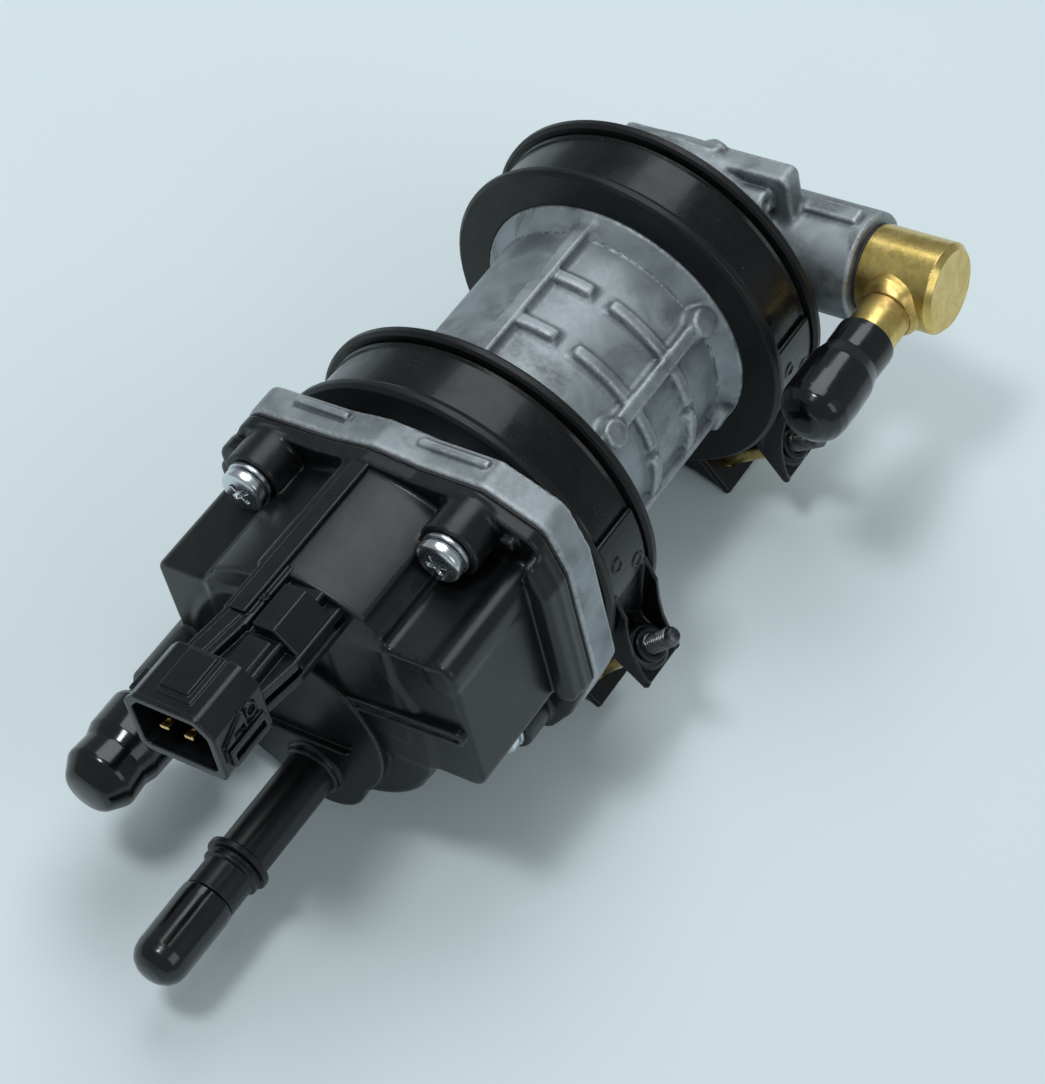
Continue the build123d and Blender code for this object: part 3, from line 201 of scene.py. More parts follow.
def blend(first: Array, second: Array, soft: float) -> Array:
    """Joins two shapes with a fillet: the lower distance, less a parabola where they are close.

    Args:
        first: Distances to one shape.
        second: Distances to the other.
        soft: Reach of the fillet.

    Returns:
        Distances to both shapes together.
    """
    near = np.maximum(soft - np.abs(first - second), 0.0) / soft
    return np.minimum(first, second) - near * near * soft * 0.25


def cut(body: Array, tool: Array, soft: float) -> Array:
    """Takes one shape out of another and rounds the edge that is left."""
    return -blend(-body, tool, soft)


def common(first: Array, second: Array, soft: float) -> Array:
    """Keeps what two shapes share and rounds the edge between them."""
    return -blend(-first, -second, soft)


def disc(u: Array, v: Array, centre: Point, radius: float) -> Array:
    """Distance to a disc: distance from its centre, less its radius."""
    return np.hypot(u - centre[0], v - centre[1]) - radius


def box(u: Array, v: Array, left: float, right: float, low: float, high: float,
        corner: float = 0.0) -> Array:
    """Distance to a rectangle with round corners.

    Args:
        u: First coordinate of the points.
        v: Second coordinate of the points.
        left: Lowest u of the rectangle.
        right: Highest u.
        low: Lowest v.
        high: Highest v.
        corner: Radius of its corners.

    Returns:
        The overshoot past its sides, taken as a length outside and as the larger one inside.
    """
    a = np.abs(u - (left + right) / 2) - (right - left) / 2 + corner
    b = np.abs(v - (low + high) / 2) - (high - low) / 2 + corner
    return np.minimum(np.maximum(a, b), 0.0) + np.hypot(np.maximum(a, 0.0), np.maximum(b, 0.0)) - corner


def hexagon(u: Array, v: Array, apothem: float, turn: float = 0.0) -> Array:
    """Distance to a hexagon, taken as the largest of its three pairs of sides.

    Args:
        u: First coordinate of the points.
        v: Second coordinate of the points.
        apothem: Distance from the middle to a side.
        turn: Angle of the first side in degrees.

    Returns:
        The distance, below zero inside.
    """
    ways = [math.radians(turn + 60.0 * i) for i in range(3)]
    sides = [np.abs(u * math.cos(way) + v * math.sin(way)) - apothem for way in ways]
    return np.maximum(np.maximum(sides[0], sides[1]), sides[2])


def segment(u: Array, v: Array, foot: Sequence[float], run: Sequence[float]) -> Array:
    """Distance to a straight line.

    Args:
        u: First coordinate of the points.
        v: Second coordinate of the points.
        foot: Where the line starts.
        run: How far it goes along each coordinate.

    Returns:
        The distance to the nearest spot on it: foot + share * run, with a share from 0 to 1.
    """
    du, dv = u - foot[0], v - foot[1]
    share = np.clip((du * run[0] + dv * run[1]) / (run[0] * run[0] + run[1] * run[1]), 0.0, 1.0)
    return np.hypot(du - run[0] * share, dv - run[1] * share)


def shrink(points: Sequence[Point], inset: float) -> Array:
    """Moves the corners of an outline inwards along the lines that halve them.

    Args:
        points: The outline's corners, in order.
        inset: How far its sides move.

    Returns:
        The corners of the smaller outline.
    """
    corners = np.array(points, float)
    if np.sum(corners[:, 0] * np.roll(corners[:, 1], -1) - np.roll(corners[:, 0], -1) * corners[:, 1]) < 0:
        corners = corners[::-1]
    ahead = np.roll(corners, -1, axis=0) - corners
    ahead /= np.linalg.norm(ahead, axis=1, keepdims=True)
    behind = np.roll(ahead, 1, axis=0)
    inward = np.stack([-ahead[:, 1] - behind[:, 1], ahead[:, 0] + behind[:, 0]], axis=1)
    side = -inward[:, 0] * ahead[:, 1] + inward[:, 1] * ahead[:, 0]
    return corners + inward * (inset / side)[:, None]


def polygon(u: Array, v: Array, points: Sequence[Point], corner: float = 0.0) -> Array:
    """Distance to an outline with round corners.

    Args:
        u: First coordinate of the points.
        v: Second coordinate of the points.
        points: The outline's corners, in order.
        corner: Radius of its convex corners.

    Returns:
        The distance to the nearest side of the outline moved in by the corner radius, below zero where
        an odd number of sides lies to the right, less that radius.
    """
    corners = shrink(points, corner)
    nearest = np.full(u.shape, np.inf)
    inside = np.zeros(u.shape, bool)
    for (ax, ay), (bx, by) in zip(corners, np.roll(corners, -1, axis=0)):
        du, dv = u - ax, v - ay
        ex, ey = bx - ax, by - ay
        share = np.clip((du * ex + dv * ey) / (ex * ex + ey * ey), 0.0, 1.0)
        nearest = np.minimum(nearest, (du - share * ex) ** 2 + (dv - share * ey) ** 2)
        if ey:
            inside ^= ((ay > v) != (by > v)) & (u < ax + (v - ay) * ex / ey)
    return np.where(inside, -1.0, 1.0) * np.sqrt(nearest) - corner


def prism(outline: Array, along: Array, start: float, end: float, edge: float) -> Array:
    """Distance to an outline drawn out along an axis, with its two rims rounded.

    Args:
        outline: Distances to the outline in the cross plane.
        along: Coordinate along the axis.
        start: Where the prism starts.
        end: Where it ends.
        edge: Radius of its rims.

    Returns:
        Distances to the prism.
    """
    a = outline + edge
    b = np.abs(along - (start + end) / 2) - abs(end - start) / 2 + edge
    return np.minimum(np.maximum(a, b), 0.0) + np.hypot(np.maximum(a, 0.0), np.maximum(b, 0.0)) - edge


class Axis(Enum):
    """The axis that a form is drawn out along: which coordinates lie across it, and which along it."""

    X = (1, 2, 0)
    Y = (0, 2, 1)
    Z = (0, 1, 2)


@dataclass(frozen=True)
class Form:
    """An outline drawn out along an axis.

    The outline is a rectangle given by two opposite corners, or a polygon given by all of them. Corner is
    the radius of its corners, start and end are where it begins and ends along the axis, and rim is the
    radius of the edges there.
    """

    outline: Sequence[Point]
    corner: float
    start: float
    end: float
    rim: float
    axis: Axis = Axis.Y

    def distance(self, points: Array) -> Array:
        """Returns the distance to the form.

        Args:
            points: Points in the sub-assembly's frame.

        Returns:
            The distance, below zero inside.
        """
        u, v, along = (points[:, i] for i in self.axis.value)
        if len(self.outline) == 2:
            (left, low), (right, high) = self.outline
            section = box(u, v, left, right, low, high, self.corner)
        else:
            section = polygon(u, v, self.outline, self.corner)
        return prism(section, along, self.start, self.end, self.rim)


def build_up(body: Array, points: Array, forms: Sequence[Form], soft: float) -> Array:
    """Joins forms to a body one after the other, each with the same fillet.

    Args:
        body: Distances to what is there already.
        points: The points that they belong to.
        forms: The forms, in order.
        soft: Reach of the fillet.

    Returns:
        Distances to all of it.
    """
    for form in forms:
        body = blend(body, form.distance(points), soft)
    return body


class FieldMesher:
    """Turns a signed distance into a closed mesh of quads.

    A grid cell that the surface passes through gets one point, the mean of the crossings on its edges. Each
    grid edge that crosses the surface joins the four points round it, and the points then slide down the
    slope of the distance until they lie on the surface.
    """

    BLOCK = 12
    CHUNK = 240000
    SLIDES = 3

    def __init__(self, field: Field, low: Sequence[float], high: Sequence[float], cell: float) -> None:
        """Keeps the field, the corners of its box and the size of a grid cell.

        Args:
            field: The signed distance.
            low: Lowest corner of the box that holds the surface.
            high: Its highest corner.
            cell: Size of a grid cell.
        """
        self.field = field
        self.low = np.array(low, float) - 2 * cell
        self.cell = cell
        count = np.ceil((np.array(high, float) + 2 * cell - self.low) / cell).astype(int) + 1
        self.blocks = -(-count // self.BLOCK)
        self.count = self.blocks * self.BLOCK

    def _evaluate(self, points: Array) -> Array:
        """Returns the distances at many points, worked out in chunks that fit the cache."""
        parts = [self.field(points[i:i + self.CHUNK]) for i in range(0, len(points), self.CHUNK)]
        return np.concatenate(parts)

    def _sample(self) -> Array:
        """Returns the distances on the grid, exact only in the blocks that the surface can reach.

        Returns:
            The distances, one for each grid node.
        """
        corner = np.stack(np.meshgrid(*[np.arange(n) for n in self.blocks], indexing="ij"), -1).reshape(-1, 3)
        middle = self.low + (corner * self.BLOCK + (self.BLOCK - 1) / 2) * self.cell
        far = self._evaluate(middle)
        reach = self.BLOCK * self.cell * 0.9 + self.cell
        steps = np.arange(self.BLOCK)
        offset = np.stack(np.meshgrid(steps, steps, steps, indexing="ij"), -1).reshape(-1, 3)
        grid = np.empty(self.count, np.float64)
        view = grid.reshape([side for count in self.blocks for side in (count, self.BLOCK)])
        view[:] = far.reshape(self.blocks)[:, None, :, None, :, None]
        near = corner[np.abs(far) < reach]
        nodes = (near[:, None, :] * self.BLOCK + offset[None]).reshape(-1, 3)
        values = self._evaluate(self.low + nodes * self.cell)
        grid[nodes[:, 0], nodes[:, 1], nodes[:, 2]] = values
        return grid

    def _slope(self, points: Array, values: Array) -> tuple[Array, Array]:
        """Returns the slope of the distance and its bend, from one step each way along each axis.

        Args:
            points: Points on or near the surface.
            values: Their distances.

        Returns:
            The slope at each point, and the sum of the second slopes.
        """
        step = 0.35 * self.cell
        slope = np.empty_like(points)
        total = -6.0 * values
        for axis in range(3):
            shift = np.zeros(3)
            shift[axis] = step
            ahead = self._evaluate(points + shift)
            behind = self._evaluate(points - shift)
            slope[:, axis] = (ahead - behind) / (2 * step)
            total += ahead + behind
        return slope, total / (step * step)

    def mesh(self) -> Surface:
        """Returns the surface where the distance is zero.

        Returns:
            The surface, with its normals along the slope of the distance.
        """
        grid = self._sample()
        inside = grid < 0
        sizes = [n - 1 for n in grid.shape]

        def part(array: Array, i: int, j: int, k: int) -> Array:
            """Returns the grid shifted by a cell corner."""
            return array[i:i + sizes[0], j:j + sizes[1], k:k + sizes[2]]

        held = sum(part(inside, i, j, k).astype(np.int8) for i in (0, 1) for j in (0, 1) for k in (0, 1))
        cells = np.argwhere((held > 0) & (held < 8))
        number = np.full(sizes, -1, np.int64)
        number[tuple(cells.T)] = np.arange(len(cells))
        total = np.zeros((len(cells), 3))
        hits = np.zeros(len(cells))
        for axis in range(3):
            for i in (0, 1):
                for j in (0, 1):
                    start = np.zeros(3, int)
                    start[(axis + 1) % 3], start[(axis + 2) % 3] = i, j
                    end = start.copy()
                    end[axis] = 1
                    first = grid[tuple((cells + start).T)]
                    last = grid[tuple((cells + end).T)]
                    crosses = (first < 0) != (last < 0)
                    share = np.where(crosses, first / np.where(crosses, first - last, 1.0), 0.0)
                    spot = np.tile(start.astype(float), (len(cells), 1))
                    spot[:, axis] = share
                    total[crosses] += spot[crosses]
                    hits += crosses
        points = self.low + (cells + total / hits[:, None]) * self.cell
        faces = []
        for axis in range(3):
            b, c = (axis + 1) % 3, (axis + 2) % 3
            first = np.take(inside, range(0, sizes[axis]), axis=axis)
            last = np.take(inside, range(1, sizes[axis] + 1), axis=axis)
            for outward, crossing in ((True, first & ~last), (False, ~first & last)):
                nodes = np.argwhere(crossing)
                nodes = nodes[(nodes[:, b] > 0) & (nodes[:, c] > 0) & (nodes[:, b] < sizes[b])
                              & (nodes[:, c] < sizes[c])]
                back_b, back_c = np.zeros(3, int), np.zeros(3, int)
                back_b[b], back_c[c] = 1, 1
                shifts = (back_b + back_c, back_c, 0 * back_b, back_b)
                ring = [number[tuple((nodes - shift).T)] for shift in shifts]
                quad = np.stack(ring if outward else ring[::-1], axis=1)
                faces.append(quad[(quad >= 0).all(axis=1)])
        faces = np.concatenate(faces)
        for _ in range(self.SLIDES):
            values = self._evaluate(points)
            slope, bend = self._slope(points, values)
            steep = np.maximum((slope * slope).sum(axis=1), 0.05)
            move = slope * (values / steep)[:, None]
            length = np.linalg.norm(move, axis=1, keepdims=True)
            points = points - move * np.minimum(1.0, 0.5 * self.cell / np.maximum(length, 1e-9))
        slope, bend = self._slope(points, self._evaluate(points))
        normals = slope / np.maximum(np.linalg.norm(slope, axis=1, keepdims=True), 1e-9)
        return Surface(points, normals, [faces], np.clip(bend * self.cell, -1.0, 1.0))


# Turned shapes: a profile of radius against height, carried round an axis


def soften(corners: Sequence[Point], radii: Sequence[float] | float, closed: bool,
           steps: int = 5) -> tuple[Array, Array]:
    """Rounds the corners of a profile that runs with its outside on the right.

    Args:
        corners: Radius and height of each corner.
        radii: Radius of each corner's arc, or one for all.
        closed: Whether the last corner joins the first.
        steps: Points on each arc, less one.

    Returns:
        The points of the profile and its outward normals.
    """
    spots = np.array(corners, float)
    count = len(spots)
    sizes = np.full(count, radii, float) if np.isscalar(radii) else np.array(radii, float)
    points, normals = [], []
    for i in range(count):
        before, after = spots[(i - 1) % count], spots[(i + 1) % count]
        if not closed and i in (0, count - 1):
            along = spots[1] - spots[0] if i == 0 else spots[-1] - spots[-2]
            along = along / np.linalg.norm(along)
            points.append(spots[i])
            normals.append(np.array([along[1], -along[0]]))
            continue
        arrive = (spots[i] - before) / np.linalg.norm(spots[i] - before)
        leave = (after - spots[i]) / np.linalg.norm(after - spots[i])
        bend = math.atan2(arrive[0] * leave[1] - arrive[1] * leave[0], float(arrive @ leave))
        if abs(bend) < 1e-6:
            points.append(spots[i])
            normals.append(np.array([arrive[1], -arrive[0]]))
            continue
        reach = sizes[i] * abs(math.tan(bend / 2))
        limit = 0.49 * min(np.linalg.norm(spots[i] - before), np.linalg.norm(after - spots[i]))
        size = sizes[i] * min(1.0, limit / max(reach, 1e-9))
        reach = min(reach, limit)
        start = spots[i] - arrive * reach
        out = np.array([arrive[1], -arrive[0]])
        centre = start - out * size * np.sign(bend)
        for step in range(steps + 1):
            turn = bend * step / steps
            turned_out = np.array([out[0] * math.cos(turn) - out[1] * math.sin(turn),
                                   out[0] * math.sin(turn) + out[1] * math.cos(turn)])
            points.append(centre + turned_out * size * np.sign(bend))
            normals.append(turned_out)
    return np.array(points), np.array(normals)


def across(axis: Array) -> tuple[Array, Array]:
    """Returns two directions square to an axis and to each other, right-handed with it.

    Args:
        axis: The axis, of length one.

    Returns:
        The two directions, of length one.
    """
    helper = np.array([0.0, 0.0, 1.0]) if abs(axis[2]) < 0.9 else np.array([1.0, 0.0, 0.0])
    first = np.cross(helper, axis)
    first /= np.linalg.norm(first)
    return first, np.cross(axis, first)


def turned(corners: Sequence[Point], radii: Sequence[float] | float, origin: Sequence[float],
           axis: Sequence[float] = BACKWARD, segments: int = 96, steps: int = 5,
           warp: Warp | None = None) -> Surface:
    """Carries a profile round an axis: point = origin + height * axis + radius * (cos, sin) across it.

    Args:
        corners: Radius and height of the profile's corners, with the outside on the right. It is a loop,
            or it starts and ends on the axis.
        radii: Radius of each corner's arc, or one for all.
        origin: Where the axis has height zero.
        axis: Direction of the axis.
        segments: Steps round the axis.
        steps: Points on each arc, less one.
        warp: Radius as a function of the turn and of the plain points, for what isn't quite round.

    Returns:
        The closed surface.
    """
    closed = corners[0][0] > 1e-9
    profile, outward = soften(corners, radii, closed, steps)
    axis = np.array(axis, float) / np.linalg.norm(axis)
    first, second = across(axis)
    turn = np.linspace(0, 2 * math.pi, segments, endpoint=False)
    round_way = np.cos(turn)[:, None] * first + np.sin(turn)[:, None] * second
    rows = profile if closed else profile[1:-1]
    ways = outward if closed else outward[1:-1]
    radius = np.repeat(rows[:, :1], segments, axis=1)
    if warp is not None:
        radius = warp(turn[None, :], rows)
    grid = np.array(origin, float) + rows[:, 1, None, None] * axis + radius[:, :, None] * round_way[None]
    normals = ways[:, 0, None, None] * round_way[None] + ways[:, 1, None, None] * axis
    points, normals = grid.reshape(-1, 3), normals.reshape(-1, 3)
    n = len(rows)
    if warp is not None:
        ahead = np.roll(grid, -1, axis=0) - np.roll(grid, 1, axis=0)
        if not closed:
            ahead[0], ahead[-1] = grid[1] - grid[0], grid[-1] - grid[-2]
        beside = np.roll(grid, -1, axis=1) - np.roll(grid, 1, axis=1)
        slope = np.cross(beside, ahead)
        normals = (slope / np.maximum(np.linalg.norm(slope, axis=2, keepdims=True), 1e-12)).reshape(-1, 3)
    row = np.arange(n if closed else n - 1)[:, None]
    column = np.arange(segments)[None, :]
    after = (column + 1) % segments
    above = (row + 1) % n
    quads = np.stack([row * segments + column, row * segments + after,
                      above * segments + after, above * segments + column], axis=-1).reshape(-1, 4)
    faces = [quads]
    if not closed:
        ends = np.array(origin, float) + profile[[0, -1], 1, None] * axis
        points = np.concatenate([points, ends])
        normals = np.concatenate([normals, outward[[0, -1], 1, None] * axis])
        foot, head = len(points) - 2, len(points) - 1
        ring = np.arange(segments)
        beyond = (ring + 1) % segments
        top = (n - 1) * segments
        faces.append(np.stack([np.full(segments, foot), beyond, ring], axis=1))
        faces.append(np.stack([np.full(segments, head), top + ring, top + beyond], axis=1))
    return Surface(points, normals, faces, np.zeros(len(points)))


def ribbon(corners: Sequence[Point], radii: float, start: float, end: float, segments: int = 160) -> Surface:
    """Carries a closed profile along part of a circle about the pump axis and closes its two ends.

    Args:
        corners: Radius and y of the profile's corners, with the outside on the right.
        radii: Radius of the corners' arcs.
        start: Angle in degrees where it starts.
        end: Angle where it ends.
        segments: Steps along the circle.

    Returns:
        The closed surface. A point is (radius * cos, y, radius * sin) of its angle.
    """
    profile, outward = soften(corners, radii, True, 3)
    n = len(profile)
    turn = np.radians(np.linspace(start, end, segments + 1))
    ways = np.stack([np.cos(turn), np.zeros_like(turn), np.sin(turn)], axis=1)
    axis = np.array(BACKWARD)
    grid = profile[:, 0, None, None] * ways[None] + profile[:, 1, None, None] * axis
    normals = outward[:, 0, None, None] * ways[None] + outward[:, 1, None, None] * axis
    width = segments + 1
    row = np.arange(n)[:, None]
    column = np.arange(segments)[None, :]
    above = (row + 1) % n
    quads = np.stack([row * width + column, above * width + column, above * width + column + 1,
                      row * width + column + 1], axis=-1).reshape(-1, 4)
    points, normals = grid.reshape(-1, 3), normals.reshape(-1, 3)
    first_end = (np.arange(n) * width)[None, ::-1]
    last_end = (np.arange(n) * width + segments)[None, :]
    return Surface(points, normals, [quads, first_end, last_end], np.zeros(len(points)))


# Finishes


class Grain(Enum):
    """What the fine relief of a surface looks like."""

    CAST = "cast"
    MOULDED = "moulded"
    BRUSHED = "brushed"
    PLAIN = "plain"


class Graph:
    """A material's nodes, added one by one and joined as they are made."""

    def __init__(self, name: str) -> None:
        """Makes an empty material with one shader whose texture space is the object, in millimetres.

        Args:
            name: The material's name.
        """
        self.material = bpy.data.materials.new(name)
        self.material.use_nodes = True
        self.nodes = self.material.node_tree.nodes
        self.links = self.material.node_tree.links
        self.shader = self.nodes["Principled BSDF"]
        where = self.nodes.new("ShaderNodeTexCoord")
        self.space = self._mapping(where.outputs["Object"], (1000.0, 1000.0, 1000.0))

    def _mapping(self, source: Socket, scale: Sequence[float],
                 turn: float = 0.0) -> Socket:
        """Adds a mapping that scales, and turns about the pump axis, and returns its output.

        Args:
            source: The coordinates.
            scale: Their scale along each axis.
            turn: Their turn about the pump axis, in radians.

        Returns:
            The new coordinates.
        """
        node = self.nodes.new("ShaderNodeMapping")
        node.inputs["Scale"].default_value = scale
        node.inputs["Rotation"].default_value = (0.0, turn, 0.0)
        self.links.new(source, node.inputs["Vector"])
        return node.outputs["Vector"]

    def noise(self, scale: float, detail: float = 3.0, stretch: Sequence[float] = (1.0, 1.0, 1.0),
              distortion: float = 0.0) -> Socket:
        """Adds a noise with its scale per millimetre and returns its value.

        Args:
            scale: Swells per millimetre.
            detail: How many finer layers lie on them.
            stretch: Scale along each axis.
            distortion: How far the pattern is twisted.

        Returns:
            The noise, from 0 to 1.
        """
        node = self.nodes.new("ShaderNodeTexNoise")
        node.inputs["Scale"].default_value = scale
        node.inputs["Detail"].default_value = detail
        node.inputs["Distortion"].default_value = distortion
        source = self.space if tuple(stretch) == (1.0, 1.0, 1.0) else self._mapping(self.space, stretch)
        self.links.new(source, node.inputs["Vector"])
        return node.outputs["Fac"]

    def cells(self, scale: float) -> Socket:
        """Adds smooth cells with their scale per millimetre and returns their distance.

        Args:
            scale: Cells per millimetre.

        Returns:
            The distance to the middle of the nearest cell.
        """
        node = self.nodes.new("ShaderNodeTexVoronoi")
        node.feature = "SMOOTH_F1"
        node.inputs["Scale"].default_value = scale
        self.links.new(self.space, node.inputs["Vector"])
        return node.outputs["Distance"]

    def relief(self) -> Socket:
        """Returns the mesh's own measure of edges, above zero, and creases, below zero.

        Returns:
            The measure, from -1 to 1.
        """
        node = self.nodes.new("ShaderNodeAttribute")
        node.attribute_name = "relief"
        return node.outputs["Fac"]

    def span(self, value: Socket, low: float, high: float, new_low: float = 0.0,
             new_high: float = 1.0) -> Socket:
        """Stretches a value from one range to another and clamps it.

        Args:
            value: The value.
            low: Where its range starts.
            high: Where it ends.
            new_low: What low becomes.
            new_high: What high becomes.

        Returns:
            The new value.
        """
        node = self.nodes.new("ShaderNodeMapRange")
        node.inputs["From Min"].default_value = low
        node.inputs["From Max"].default_value = high
        node.inputs["To Min"].default_value = new_low
        node.inputs["To Max"].default_value = new_high
        self.links.new(value, node.inputs["Value"])
        return node.outputs["Result"]

    def plus(self, first: Socket, second: Socket | float) -> Socket:
        """Returns two values added together."""
        return self._reckon("ADD", first, second)

    def times(self, first: Socket, second: Socket | float) -> Socket:
        """Returns two values multiplied with each other."""
        return self._reckon("MULTIPLY", first, second)

    def _reckon(self, operation: str, first: Socket,
                second: Socket | float) -> Socket:
        """Adds one step of arithmetic and returns its result.

        Args:
            operation: The step, such as ADD.
            first: The first value.
            second: The second.

        Returns:
            The result.
        """
        node = self.nodes.new("ShaderNodeMath")
        node.operation = operation
        self.links.new(first, node.inputs[0])
        if isinstance(second, float):
            node.inputs[1].default_value = second
        else:
            self.links.new(second, node.inputs[1])
        return node.outputs["Value"]

    def colour(self, share: Socket, first: Socket | Colour, second: Socket | Colour) -> Socket:
        """Mixes two colours, each a triple or a socket, by a share from 0 to 1.

        Args:
            share: How much of the second colour there is.
            first: The first colour.
            second: The second colour.

        Returns:
            The mixed colour.
        """
        node = self.nodes.new("ShaderNodeMix")
        node.data_type = "RGBA"
        self.links.new(share, node.inputs["Factor"])
        for socket, value in ((node.inputs[6], first), (node.inputs[7], second)):
            if isinstance(value, Socket):
                self.links.new(value, socket)
            else:
                socket.default_value = (*value, 1.0)
        return node.outputs[2]

    def bump(self, height: Socket, strength: float, depth: float,
             under: Socket | None = None) -> Socket:
        """Adds a bump of a depth in millimetres over another one and returns its normal.

        Args:
            height: The height, from 0 to 1.
            strength: How strong the bump is.
            depth: How deep it is.
            under: The normal that it lies on.

        Returns:
            The new normal.
        """
        node = self.nodes.new("ShaderNodeBump")
        node.inputs["Strength"].default_value = strength
        node.inputs["Distance"].default_value = depth * MM
        self.links.new(height, node.inputs["Height"])
        if under is not None:
            self.links.new(under, node.inputs["Normal"])
        return node.outputs["Normal"]

    def near(self, centre: Sequence[float], inner: float, outer: float) -> Socket:
        """Returns 1 within a distance of a point of the shared frame, fading to 0 further out.

        Args:
            centre: The point, in millimetres.
            inner: Distance up to which the value is 1.
            outer: Distance from which it is 0.

        Returns:
            The value.
        """
        node = self.nodes.new("ShaderNodeVectorMath")
        node.operation = "DISTANCE"
        self.links.new(self.space, node.inputs[0])
        node.inputs[1].default_value = tuple(centre)
        return self.span(node.outputs["Value"], inner, outer, 1.0, 0.0)

    def along(self, foot: Sequence[float], axis: Sequence[float]) -> Socket:
        """Returns how far along an axis a point lies, in millimetres from the foot of the axis.

        Args:
            foot: The foot of the axis, in the shared frame.
            axis: Its direction, of length one.

        Returns:
            The length along the axis.
        """
        node = self.nodes.new("ShaderNodeVectorMath")
        node.operation = "SUBTRACT"
        self.links.new(self.space, node.inputs[0])
        node.inputs[1].default_value = tuple(foot)
        dot = self.nodes.new("ShaderNodeVectorMath")
        dot.operation = "DOT_PRODUCT"
        self.links.new(node.outputs["Vector"], dot.inputs[0])
        dot.inputs[1].default_value = tuple(axis)
        return dot.outputs["Value"]

    def surface(self, colour: Socket, roughness: Socket,
                normal: Socket, metallic: float) -> None:
        """Joins a colour, a roughness and a normal to the shader and sets how metallic it is.

        Args:
            colour: The base colour.
            roughness: The roughness.
            normal: The normal.
            metallic: How metallic it is, from 0 to 1.
        """
        self.links.new(colour, self.shader.inputs["Base Color"])
        self.links.new(roughness, self.shader.inputs["Roughness"])
        self.links.new(normal, self.shader.inputs["Normal"])
        self.shader.inputs["Metallic"].default_value = metallic


class Coating:
    """A finish of one of the record's material slots, built once and then found by its name."""

    name: str
    slot: str

    def paint(self, graph: Graph) -> None:
        """Fills the graph of the new material."""
        raise NotImplementedError

    def material(self) -> bpy.types.Material:
        """Returns the finish's material.

        Returns:
            The material, made on the first call.
        """
        made = bpy.data.materials.get(self.name)
        if made is None:
            graph = Graph(self.name)
            self.paint(graph)
            made = graph.material
        return made


@dataclass(frozen=True)
class Finish(Coating):
    """A surface finish: its colours, its roughness and its fine relief."""

    name: str
    slot: str
    base: Colour
    second: Colour
    metallic: float = 0.0
    rough_low: float = 0.4
    rough_high: float = 0.55
    grain: Grain = Grain.PLAIN
    grain_scale: float = 2.0
    grain_depth: float = 0.03
    patch_scale: float = 0.12
    edge_wear_and_highlight: Colour | None = None
    edge_wear_and_highlight_share: float = 0.6
    crease_shade: Colour | None = None
    stain: Colour | None = None
    coat: float = 0.0
    coat_roughness: float = 0.05
    specular: float = 0.5
    dust: float = 0.0

    def paint(self, graph: Graph) -> None:
        """Lays patches, stains, painted shade in creases, lighter edges (wear on the metals, a painted
        highlight on the black plastics and rubber) and dust over each other, then gloss and grain.

        Args:
            graph: The graph of the new material.
        """
        patch = graph.noise(self.patch_scale, 5.0, distortion=0.6)
        fleck = graph.noise(self.grain_scale * 0.6, 4.0)
        colour = graph.colour(graph.span(patch, 0.35, 0.65), self.base, self.second)
        if self.stain is not None:
            blot = graph.noise(0.055, 6.0, distortion=1.4)
            share = graph.times(graph.span(blot, 0.5, 0.68), graph.span(fleck, 0.25, 0.6, 0.35, 0.75))
            colour = graph.colour(share, colour, self.stain)
        # Painted shade: a darker colour in creases and hollows, where the relief is below zero
        if self.crease_shade is not None:
            groove = graph.span(graph.relief(), -0.16, -0.75)
            share = graph.times(groove, graph.span(fleck, 0.3, 0.6, 0.5, 0.8))
            colour = graph.colour(share, colour, self.crease_shade)
        # Lighter convex edges: wear on the metals, a painted edge highlight on the black plastics and the
        # rubber
        if self.edge_wear_and_highlight is not None:
            edge = graph.times(graph.span(graph.relief(), 0.12, 0.7), graph.span(fleck, 0.3, 0.62))
            colour = graph.colour(graph.times(edge, self.edge_wear_and_highlight_share), colour, self.edge_wear_and_highlight)
        if self.dust:
            speck = graph.span(graph.noise(1.9, 2.0), 0.69, 0.75)
            colour = graph.colour(graph.times(speck, self.dust), colour, (0.32, 0.33, 0.33))
        mix = graph.plus(patch, graph.times(fleck, 0.6))
        roughness = graph.span(mix, 0.55, 1.05, self.rough_low, self.rough_high)
        graph.surface(colour, roughness, self._relief(graph), self.metallic)
        graph.shader.inputs["Coat Weight"].default_value = self.coat
        graph.shader.inputs["Coat Roughness"].default_value = self.coat_roughness
        graph.shader.inputs["Specular IOR Level"].default_value = self.specular

    def _relief(self, graph: Graph) -> Socket:
        """Adds the fine relief of the grain and returns its normal.

        Args:
            graph: The graph of the material.

        Returns:
            The normal.
        """
        depth = self.grain_depth
        if self.grain is Grain.CAST:
            swell = graph.bump(graph.noise(0.22, 3.0), 0.5, depth * 4)
            pits = graph.bump(graph.cells(self.grain_scale), 0.35, depth * 2, swell)
            return graph.bump(graph.noise(self.grain_scale * 2.2, 5.0), 0.6, depth, pits)
        if self.grain is Grain.MOULDED:
            swell = graph.bump(graph.noise(0.1, 2.0), 0.35, depth * 3)
            return graph.bump(graph.noise(self.grain_scale * 2.5, 3.0), 0.4, depth, swell)
        if self.grain is Grain.BRUSHED:
            return graph.bump(graph.noise(self.grain_scale, 4.0, (1.0, 0.06, 1.0)), 0.6, depth)
        return graph.bump(graph.noise(self.grain_scale, 3.0), 0.4, depth)
